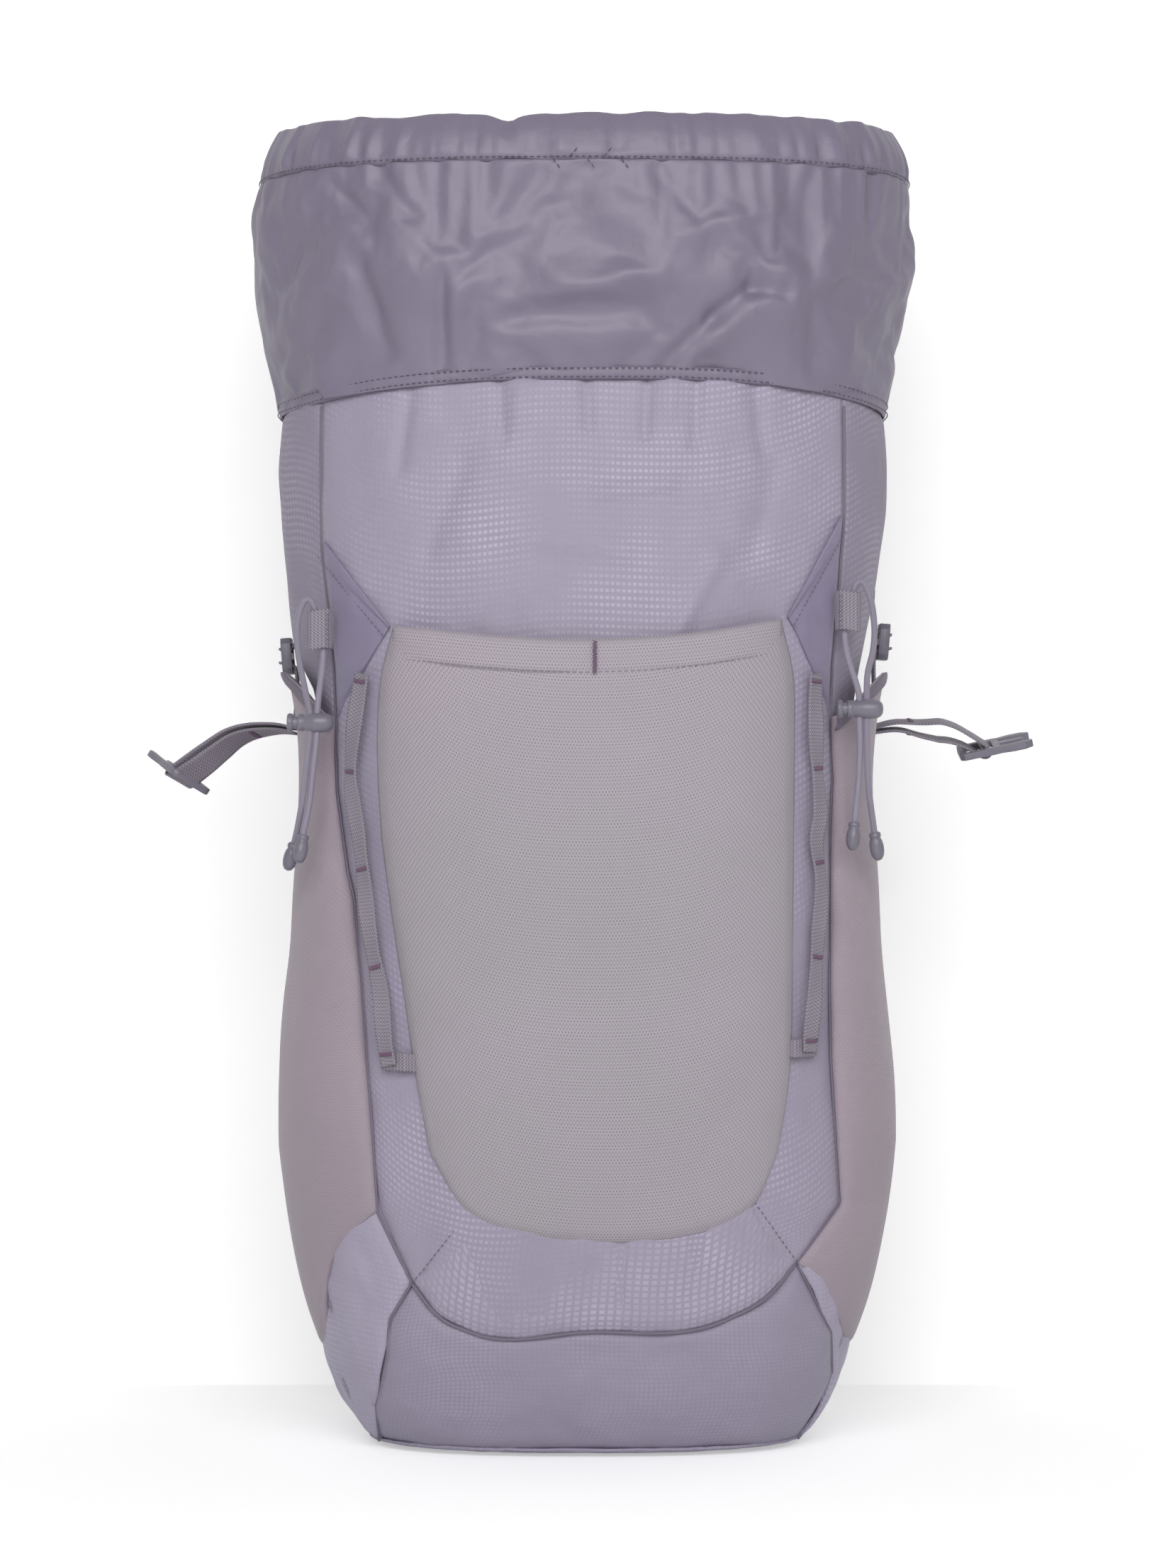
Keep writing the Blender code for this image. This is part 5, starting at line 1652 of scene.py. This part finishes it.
@dataclass
class Lacing:
    """Shock cord on one side: its keeper, two hanging strands, their ends and the cord lock."""

    side: Side
    keeper: tuple
    outer: tuple
    inner: tuple
    lock: tuple
    diameter: float = 0.003
    keeper_height: float = 0.0185
    keeper_y: float = -0.068
    wrap: tuple = (
        (0.0062, 0.0030), (0.0030, 0.0034), (-0.0035, 0.0031), (-0.0052, 0), (-0.0035, -0.0031),
        (0.0030, -0.0026), (0.0062, 0.0006),
    )
    end_profile: tuple = (
        (0.0, 0.0002), (0.0024, 0.0), (0.0028, 0.0005), (0.0029, 0.0016), (0.0025, 0.0022),
        (0.0025, 0.0030), (0.0030, 0.0038), (0.0034, 0.0062), (0.0034, 0.0088), (0.0029, 0.0112),
        (0.0019, 0.0128), (0.0008, 0.0134), (0.0, 0.0135),
    )
    barrel_profile: tuple = (
        (0, 0.0078), (0.0033, 0.0078), (0.0033, -0.0070), (0.0035, -0.0075), (0.0038, -0.0075),
        (0.0041, -0.0070), (0.0041, -0.0052), (0.0038, -0.0048), (0.0038, -0.0042), (0.0041, -0.0038),
        (0.0041, -0.0014), (0.0045, -0.0006), (0.0047, 0.0010), (0.0047, 0.0046), (0.0045, 0.0062),
        (0.0040, 0.0076), (0.0032, 0.0087), (0.0021, 0.0093), (0.0010, 0.0095), (0, 0.0095),
    )
    plunger_profile: tuple = (
        (0, -0.0121), (0.0020, -0.0122), (0.0030, -0.0125), (0.0038, -0.0124), (0.0044, -0.0118),
        (0.0044, -0.0104), (0.0040, -0.0098), (0.0030, -0.0098), (0.0030, 0.0050), (0.0027, 0.0054),
        (0, 0.0054),
    )

    def build(self) -> None:
        """Builds the lacing's pieces."""
        word = self.side.word
        self.strand("outer", self.outer)
        self.strand("inner", self.inner)
        self.sleeve()
        turn = along(self.lock, (1, 0, 0))
        barrel = MeshMaker.turned(f"lock_barrel_{word}", self.barrel_profile, turn, 48)
        dress(barrel, FINISHES.moulding, f"cord_lock_{word}", f"cord_lock_barrel_{word}")
        button = MeshMaker.turned(f"lock_button_{word}", self.plunger_profile, turn, 40)
        dress(button, FINISHES.moulding, f"lock_button_{word}", f"cord_lock_plunger_{word}")
        dress_node(f"cord_lock_spring_{word}", FINISHES.steel)

    def strand(self, which: str, points: tuple) -> None:
        """One hanging strand with its moulded end."""
        word = self.side.word
        line = smooth_route(points, 61)
        cord = MeshMaker.tube(f"cord_{word}_{which}", line, self.diameter / 2, 16)
        dress(cord, FINISHES.cord, "pack", f"shock_cord_{word}_{which}")
        way = line[-1] - line[-4]
        way = way / np.linalg.norm(way)
        end = MeshMaker.turned(
            f"cord_end_{word}_{which}_moulding", self.end_profile, along(line[-1] - way * 0.004, way), 32
        )
        dress(end, FINISHES.moulding, "pack", f"cord_end_{word}_{which}")
        route_length(line)

    def sleeve(self) -> None:
        """The folded webbing that holds the cord to the side seam."""
        x0, z0 = self.keeper
        loop = smooth_route(self.wrap, 41)

        def place(u: Array, v: Array) -> Array:
            k = np.rint(u * 40).astype(int)
            x = x0 - self.side.value * loop[k, 0]
            z = z0 + self.keeper_height * (v - 0.5) + 0.0006 * np.sin(9 * u)
            return np.stack([x, self.keeper_y + loop[k, 1], z], axis=1)

        obj = MeshMaker.grid(f"keeper_{self.side.word}", place, 40, 18)
        dress(MeshMaker.thick(obj, 0.0011, 0.0), FINISHES.webbing, "pack", f"cord_keeper_{self.side.word}")
        rows = Stitching(f"keeper_stitching_{self.side.word}", FINISHES.thread_pale, f"cord_keeper_{self.side.word}")
        for inward in (0.0036, 0.0046):
            x = x0 - self.side.value * inward
            z = np.linspace(z0 - 0.008, z0 + 0.008, 12)
            rows.row(np.stack([0 * z + x, 0 * z + self.keeper_y - 0.0029, z], axis=1), 0.0022)
        rows.keep()


LACINGS = (
    Lacing(
        Side.LEFT, (-0.1265, 0.393),
        ((-0.1280, -0.0680, 0.3870), (-0.1282, -0.0680, 0.3960), (-0.1290, -0.0682, 0.4045),
         (-0.1325, -0.0695, 0.4075), (-0.1362, -0.0700, 0.3990), (-0.1367, -0.0700, 0.3870),
         (-0.1350, -0.0700, 0.3745), (-0.1325, -0.0695, 0.3625), (-0.1307, -0.0690, 0.3530),
         (-0.1307, -0.0690, 0.3450), (-0.1325, -0.0690, 0.3280), (-0.1345, -0.0690, 0.3110),
         (-0.1370, -0.0660, 0.2980), (-0.1395, -0.0640, 0.2880)),
        ((-0.1246, -0.0680, 0.4000), (-0.1246, -0.0680, 0.3870), (-0.1246, -0.0682, 0.3790),
         (-0.1255, -0.0690, 0.3700), (-0.1266, -0.0692, 0.3610), (-0.1273, -0.0690, 0.3530),
         (-0.1273, -0.0690, 0.3450), (-0.1291, -0.0690, 0.3280), (-0.1310, -0.0690, 0.3110),
         (-0.1330, -0.0715, 0.3000), (-0.1343, -0.0725, 0.2920)),
        (-0.1290, -0.0690, 0.3490),
    ),
    Lacing(
        Side.RIGHT, (0.1243, 0.4017),
        ((0.1258, -0.0680, 0.3960), (0.1260, -0.0680, 0.4050), (0.1268, -0.0682, 0.4130),
         (0.1305, -0.0695, 0.4158), (0.1345, -0.0700, 0.4070), (0.1362, -0.0700, 0.3940),
         (0.1355, -0.0700, 0.3830), (0.1330, -0.0695, 0.3720), (0.1326, -0.0690, 0.3600),
         (0.1326, -0.0690, 0.3510), (0.1328, -0.0690, 0.3350), (0.1336, -0.0690, 0.3180),
         (0.1355, -0.0660, 0.3040), (0.1372, -0.0645, 0.2930)),
        ((0.1224, -0.0680, 0.4080), (0.1224, -0.0680, 0.3950), (0.1226, -0.0682, 0.3860),
         (0.1245, -0.0690, 0.3770), (0.1275, -0.0692, 0.3680), (0.1292, -0.0690, 0.3600),
         (0.1292, -0.0690, 0.3510), (0.1294, -0.0690, 0.3350), (0.1285, -0.0690, 0.3180),
         (0.1272, -0.0705, 0.3070), (0.1264, -0.0710, 0.2980)),
        (0.1309, -0.0690, 0.3555),
    ),
)


@dataclass
class Compression:
    """A side's compression strap: doubled webbing with a male buckle, and its ladder lock."""

    side: Side
    line: tuple
    across: tuple
    spread: tuple
    slider: tuple
    width: float = 0.015
    thickness: float = 0.0012
    reach: float = 0.0036
    below: tuple = (
        (0.0035, -0.0330), (0.0046, -0.0200), (0.0046, -0.0085), (0.0030, -0.0046), (0, -0.0038),
        (-0.0040, -0.0032),
    )
    above: tuple = (
        (0.0050, 0.0260), (0.0054, 0.0160), (0.0046, 0.0090), (0.0030, 0.0048), (0, 0.0040),
        (-0.0040, 0.0034),
    )

    def build(self) -> None:
        """Builds the strap, its buckle and the straps at the side's slider."""
        word, out = self.side.word, self.side.value
        body = f"compression_{word}"
        count = 60
        middle = smooth_route(self.line, count)
        wide = unit(smooth_route(self.across, count))
        ahead = unit(np.gradient(middle, axis=0))
        normal = unit(np.cross(wide, ahead))
        apart = line_at(np.linspace(0, 1, count), self.spread)[:, None]
        bend = np.linspace(math.pi / 2, -math.pi / 2, 17)[1:-1, None]
        tip = middle[-1] + normal[-1] * apart[-1] * np.sin(bend) + ahead[-1] * self.reach * np.cos(bend)
        line = np.vstack([middle + normal * apart, tip, (middle - normal * apart)[::-1]])
        across = np.vstack([wide, np.repeat(wide[-1:], len(tip), axis=0), wide[::-1]])
        obj = MeshMaker.strip(f"compression_{word}_webbing", line, across, self.width, self.thickness, 10)
        dress(obj, FINISHES.webbing, body, f"compression_strap_{word}")
        tack = Stitching(f"compression_{word}_tack", FINISHES.thread_tack, f"compression_strap_{word}", body)
        k = int(count * 0.34)
        for face in (1, -1):
            spot = middle[k] + normal[k] * face * (apart[k] + self.thickness * 0.7)
            tack.zigzag(spot, wide[k], ahead[k], self.width * 0.8, 0.0030, 16)
        tack.keep()
        buckle = rounded_copy(f"strap_buckle_{word}", f"buckle_{word}_moulding")
        dress(buckle, FINISHES.moulding, f"buckle_{word}", f"strap_buckle_{word}")
        slider = rounded_copy(f"ladder_lock_{word}", f"slider_{word}_moulding")
        dress(slider, FINISHES.moulding, "pack", f"ladder_lock_{word}")
        x, y, z = self.slider
        for name, route in ((f"ladder_strap_{word}", self.below), (f"ladder_tab_{word}", self.above)):
            low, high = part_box(name)
            points = [(x - out * a, y, z + b) for a, b in route]
            width = min(high[1] - low[1], self.width)
            strap = MeshMaker.ribbon(f"{name}_webbing", points, [(0, 1, 0)] * 2, width, 0.0012, 50, 8)
            dress(strap, FINISHES.webbing, "pack", name)


COMPRESSIONS = (
    Compression(
        Side.LEFT,
        ((-0.1448, 0.045, 0.3464), (-0.1545, 0.044, 0.3478), (-0.1670, 0.042, 0.3466),
         (-0.1762, 0.040, 0.3432), (-0.1845, 0.038, 0.3370), (-0.1920, 0.036, 0.3310),
         (-0.2010, 0.035, 0.3240)),
        ((0.10, 0.98, -0.05), (0.15, 0.95, -0.10), (0.40, 0.82, -0.30), (0.72, 0.55, -0.45)),
        ((0, 0.0011), (0.4, 0.0016), (0.8, 0.0029), (1, 0.0029)),
        (-0.1495, 0.045, 0.3838),
    ),
    Compression(
        Side.RIGHT,
        ((0.1420, 0.045, 0.3470), (0.1550, 0.043, 0.3492), (0.1680, 0.041, 0.3475),
         (0.1795, 0.0378, 0.3462), (0.1885, 0.0372, 0.3428), (0.1975, 0.037, 0.3375)),
        ((-0.02, 0.99, 0.10), (0, 0.98, 0.16), (-0.01, 0.98, 0.20), (-0.012, 0.98, 0.205)),
        ((0, 0.0011), (0.3, 0.0022), (0.6, 0.0046), (0.84, 0.0031), (1, 0.0029)),
        (0.1485, 0.045, 0.3910),
    ),
)


# --- The back ------------------------------------------------------------------------------------


@dataclass
class CarrySystem:
    """Back pad, shoulder straps, haul loop and chest strap."""

    pad_half: float = 0.106
    pad_low: float = 0.052
    pad_high: float = 0.463
    pad_y: float = 0.0868
    pad_depth: float = 0.0042
    shoulder: tuple = (
        (0.058, 0.0850, 0.487), (0.060, 0.0980, 0.468), (0.063, 0.1120, 0.438), (0.067, 0.1240, 0.400),
        (0.073, 0.1320, 0.345), (0.080, 0.1300, 0.285), (0.087, 0.1200, 0.235), (0.092, 0.1090, 0.195),
    )
    lower: tuple = (
        (0.0925, 0.1085, 0.1731), (0.0925, 0.1036, 0.1743), (0.0928, 0.0990, 0.1750),
        (0.0932, 0.0965, 0.1715), (0.0945, 0.0957, 0.1600), (0.1000, 0.0945, 0.1400),
        (0.1070, 0.0925, 0.0980), (0.1130, 0.0885, 0.0600), (0.1145, 0.0845, 0.0420),
    )
    anchor: tuple = ((0.0960, 0.0722, 0.0300), (0.1050, 0.0742, 0.0308), (0.1120, 0.0770, 0.0322))
    haul: tuple = (
        (-0.022, 0.0885, 0.489), (-0.0215, 0.0885, 0.502), (-0.015, 0.0888, 0.517), (0, 0.089, 0.523),
        (0.015, 0.0888, 0.517), (0.0215, 0.0885, 0.502), (0.022, 0.0885, 0.489),
    )

    def build(self) -> None:
        """Builds the soft pads first, so that they loosen together."""
        self.pad = self.back_pad()
        self.straps = [self.shoulder_strap(side) for side in Side]
        self.trims()

    def back_pad(self) -> Obj:
        """The pad as a thin closed cushion, still flat."""

        def place(u: Array, v: Array) -> Array:
            a = math.tau * u
            end = np.clip(1 - np.abs(2 * v - 1) ** 14, 0, 1)
            z = between(self.pad_low, self.pad_high, v)
            half = self.pad_half * between(0.90, 1.0, np.sin(math.pi * np.clip(v, 0.02, 0.98)) ** 0.4)
            x = half * np.sign(np.cos(a)) * np.abs(np.cos(a)) ** 0.55 * between(0.93, 1.0, end)
            y = self.pad_y + self.pad_depth * np.sign(np.sin(a)) * np.abs(np.sin(a)) ** 0.6 * end
            return np.stack([x, y, z], axis=1)

        obj = MeshMaker.grid("back_pad_cushion", place, 96, 92, closed=True)
        maker = bmesh.new()
        maker.from_mesh(obj.data)
        bmesh.ops.holes_fill(maker, edges=[e for e in maker.edges if e.is_boundary], sides=0)
        maker.to_mesh(obj.data)
        maker.free()
        MeshMaker.recalculated(obj)
        DRAPING.add(ClothJob(obj, np.zeros(len(obj.data.vertices)), 0.0, 4.0, 0.004, 0.5))
        return obj

    def shoulder_strap(self, side: Side) -> Obj:
        """One padded strap as a thin closed cushion."""
        rows = 100
        line = smooth_route(self.shoulder, rows + 1)
        line[:, 0] *= side.value
        ahead = unit(np.gradient(line, axis=0))
        wide = unit(np.array([1.0, 0, 0]) - ahead * ahead[:, :1])
        thin = np.cross(ahead, wide)

        def place(u: Array, v: Array) -> Array:
            k = np.rint(v * rows).astype(int)
            a = math.tau * u
            end = np.clip(1 - np.abs(2 * v - 1) ** 22, 0, 1) ** 0.5
            half = 0.0255 * between(0.80, 1.0, np.sin(math.pi * v) ** 0.5) * between(0.72, 1.0, end)
            c = np.sign(np.cos(a)) * np.abs(np.cos(a)) ** 0.6 * half
            s = np.sign(np.sin(a)) * np.abs(np.sin(a)) ** 0.6 * 0.0040 * end
            return line[k] + wide[k] * c[:, None] + thin[k] * s[:, None]

        obj = MeshMaker.grid(f"shoulder_{side.word}_cushion", place, 40, rows, closed=True)
        maker = bmesh.new()
        maker.from_mesh(obj.data)
        bmesh.ops.holes_fill(maker, edges=[e for e in maker.edges if e.is_boundary], sides=0)
        maker.to_mesh(obj.data)
        maker.free()
        MeshMaker.recalculated(obj)
        DRAPING.add(ClothJob(obj, np.zeros(len(obj.data.vertices)), 0.0, 4.0, 0.003, 0.5))
        return obj

    def finish(self) -> None:
        """Sews the channels into the loosened back pad, then dresses it and the shoulder straps."""
        mesh = self.pad.data
        for vert in mesh.vertices:
            x, y, z = vert.co
            if y > self.pad_y:
                rib = abs(((z + 0.40 * abs(x) + 0.01) / 0.064) % 1 - 0.5) * 0.064
                groove = max(math.exp(-((rib / 0.0030) ** 2)), math.exp(-((x / 0.0050) ** 2)))
                inside = min(1.0, max(0.0, (self.pad_half - 0.010 - abs(x)) / 0.006))
                inside *= min(1.0, max(0.0, (self.pad_high - 0.012 - z) / 0.006))
                inside *= min(1.0, max(0.0, (z - self.pad_low - 0.012) / 0.006))
                vert.co.y -= 0.0040 * groove * inside
        MeshMaker.refined(self.pad)
        dress(self.pad, FINISHES.spacer, "pack", "back_pad")
        dress_node("frame_sheet", FINISHES.plate)
        for side, strap in zip(Side, self.straps):
            MeshMaker.refined(strap)
            dress(strap, FINISHES.spacer, "pack", f"shoulder_strap_{side.word}")

    def trims(self) -> None:
        """Webbing, sliders, haul loop and chest strap."""
        for side in Side:
            out, word = side.value, side.word
            for name, route, width in (
                (f"lower_strap_{word}", self.lower, 0.018), (f"strap_anchor_{word}", self.anchor, 0.024),
            ):
                points = [(out * x, y, z) for x, y, z in route]
                across = [(1, 0, 0.15 * out)] * 2 if "lower" in name else [(0, -0.2, 1)] * 2
                strap = MeshMaker.ribbon(f"{name}_webbing", points, across, width, 0.0014, 80, 10)
                dress(strap, FINISHES.webbing, "pack", name)
            lock = rounded_copy(f"shoulder_lock_{word}", f"shoulder_slider_{word}")
            dress(lock, FINISHES.moulding, "pack", f"shoulder_lock_{word}")
            points = [(out * x, 0.1385, 0.345) for x in (0.092, 0.055, 0.0215)]
            chest = MeshMaker.ribbon(f"chest_webbing_{word}", points, [(0, 0, 1)] * 2, 0.020, 0.0014, 50, 8)
            dress(chest, FINISHES.webbing, "chest_strap", f"sternum_strap_{word}")
        haul = MeshMaker.ribbon("haul_webbing", self.haul, [(0, 1, 0)] * 2, 0.013, 0.0016, 80, 8)
        dress(haul, FINISHES.webbing, "haul", "haul_loop")
        for half in ("male", "female"):
            piece = rounded_copy(f"sternum_buckle_{half}", f"chest_buckle_{half}_moulding")
            dress(piece, FINISHES.moulding, "chest_strap", f"sternum_buckle_{half}")


# --- Floor, light and camera ---------------------------------------------------------------------


@dataclass
class Studio:
    """A white floor and wall, soft light from above and a level camera."""

    camera_place: tuple = (0.0008, -2.0, 0.32)
    lens: float = 93.75
    surround: float = 0.17
    key_power: float = 36.5
    side_power: float = 4.5
    wall_y: float = 0.175
    glow: float = 0.42

    def camera(self) -> None:
        """Sets the camera."""
        data = bpy.data.cameras.new("Camera")
        data.lens = self.lens
        data.sensor_width = 36.0
        data.clip_end = 50.0
        obj = bpy.data.objects.new("Camera", data)
        obj.location = self.camera_place
        obj.rotation_euler = (math.pi / 2, 0.0, 0.0)
        bpy.context.scene.collection.objects.link(obj)
        bpy.context.scene.camera = obj

    def lamp(self, name: str, place: tuple, aim: tuple, size: float, power: float) -> None:
        """One soft lamp aimed at a point."""
        data = bpy.data.lights.new(name, "AREA")
        data.shape = "DISK"
        data.size = size
        data.energy = power
        obj = bpy.data.objects.new(name, data)
        obj.location = place
        obj.rotation_euler = (Vector(aim) - Vector(place)).to_track_quat("-Z", "Y").to_euler()
        bpy.context.scene.collection.objects.link(obj)

    def white(self, name: str, one_sided: bool) -> bpy.types.Material:
        """White paper that glows a little where it is looked at, and may be clear from behind."""
        material = bpy.data.materials.new(name)
        material.use_nodes = True
        tree = Tree(material.node_tree)
        shader = material.node_tree.nodes["Principled BSDF"]
        place = tree.node("ShaderNodeTexCoord").outputs["Object"]
        tone = tree.group(PATTERNS.mottle, Vector=place, Clouds=3.0, Grain=200.0, Amount=0.1)["Tone"]
        tree.put(shader.inputs["Base Color"], tree.blend(tone, (0.90, 0.90, 0.90, 1.0), (0.94, 0.94, 0.94, 1.0)))
        shader.inputs["Roughness"].default_value = 0.9
        shader.inputs["Specular IOR Level"].default_value = 0.1
        shader.inputs["Emission Strength"].default_value = 1.0
        seen = tree.node("ShaderNodeLightPath").outputs["Is Camera Ray"]
        glow = (self.glow, self.glow, self.glow, 1.0)
        tree.put(shader.inputs["Emission Color"], tree.blend(seen, (0.05, 0.05, 0.05, 1.0), glow))
        if one_sided:
            out = material.node_tree.nodes["Material Output"]
            clear = tree.node("ShaderNodeBsdfTransparent").outputs[0]
            behind = tree.node("ShaderNodeNewGeometry").outputs["Backfacing"]
            mixed = tree.tree.nodes.new("ShaderNodeMixShader")
            tree.put(mixed.inputs[0], behind)
            tree.put(mixed.inputs[1], shader.outputs[0])
            tree.put(mixed.inputs[2], clear)
            tree.put(out.inputs["Surface"], mixed.outputs[0])
        return material

    def build(self) -> None:
        """Floor, wall, surround and lamps."""
        maker = bmesh.new()
        bmesh.ops.create_grid(maker, x_segments=8, y_segments=8, size=12.0)
        floor = MeshMaker.keep("Floor", maker)
        floor.data.materials.append(self.white("floor", False))
        maker = bmesh.new()
        turn = Matrix.Translation((0.0, self.wall_y, 0.0)) @ Matrix.Rotation(math.pi / 2, 4, "X")
        bmesh.ops.create_grid(maker, x_segments=4, y_segments=4, size=2.2, matrix=turn)
        wall = MeshMaker.keep("Wall", maker)
        wall.data.materials.append(self.white("wall", True))
        world = bpy.data.worlds.new("Surround")
        world.use_nodes = True
        nodes = Tree(world.node_tree)
        plain = world.node_tree.nodes["Background"]
        plain.inputs[0].default_value = (1.0, 1.0, 1.0, 1.0)
        seen = nodes.node("ShaderNodeLightPath").outputs["Is Camera Ray"]
        nodes.put(plain.inputs[1], nodes.math("MULTIPLY_ADD", seen, 1.05 - self.surround, self.surround))
        bpy.context.scene.world = world
        self.lamp("Key", (-0.12, -2.30, 1.40), (0.0, 0.0, 0.36), 2.0, self.key_power)
        self.lamp("Side", (1.05, -2.0, 1.40), (0.0, 0.0, 0.33), 0.35, self.side_power)
        bpy.context.scene.view_settings.view_transform = "Standard"


def main() -> None:
    """Builds the bag's sub-assemblies in order, then loosens the soft ones and finishes them."""
    logging.basicConfig(level=logging.INFO, format="%(name)s: %(message)s")
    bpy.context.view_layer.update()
    studio = Studio()
    studio.camera()
    for lacing in LACINGS:
        lacing.build()
    BagShell().build()
    Wings().build()
    collar = Collar()
    collar.build()
    FrontPocket().build()
    for side in Side:
        SidePocket(side).build()
        DaisyChain(side).build()
    for compression in COMPRESSIONS:
        compression.build()
    back = CarrySystem()
    back.build()
    DRAPING.run()
    collar.finish()
    back.finish()
    studio.build()


if __name__ == "__main__":
    main()
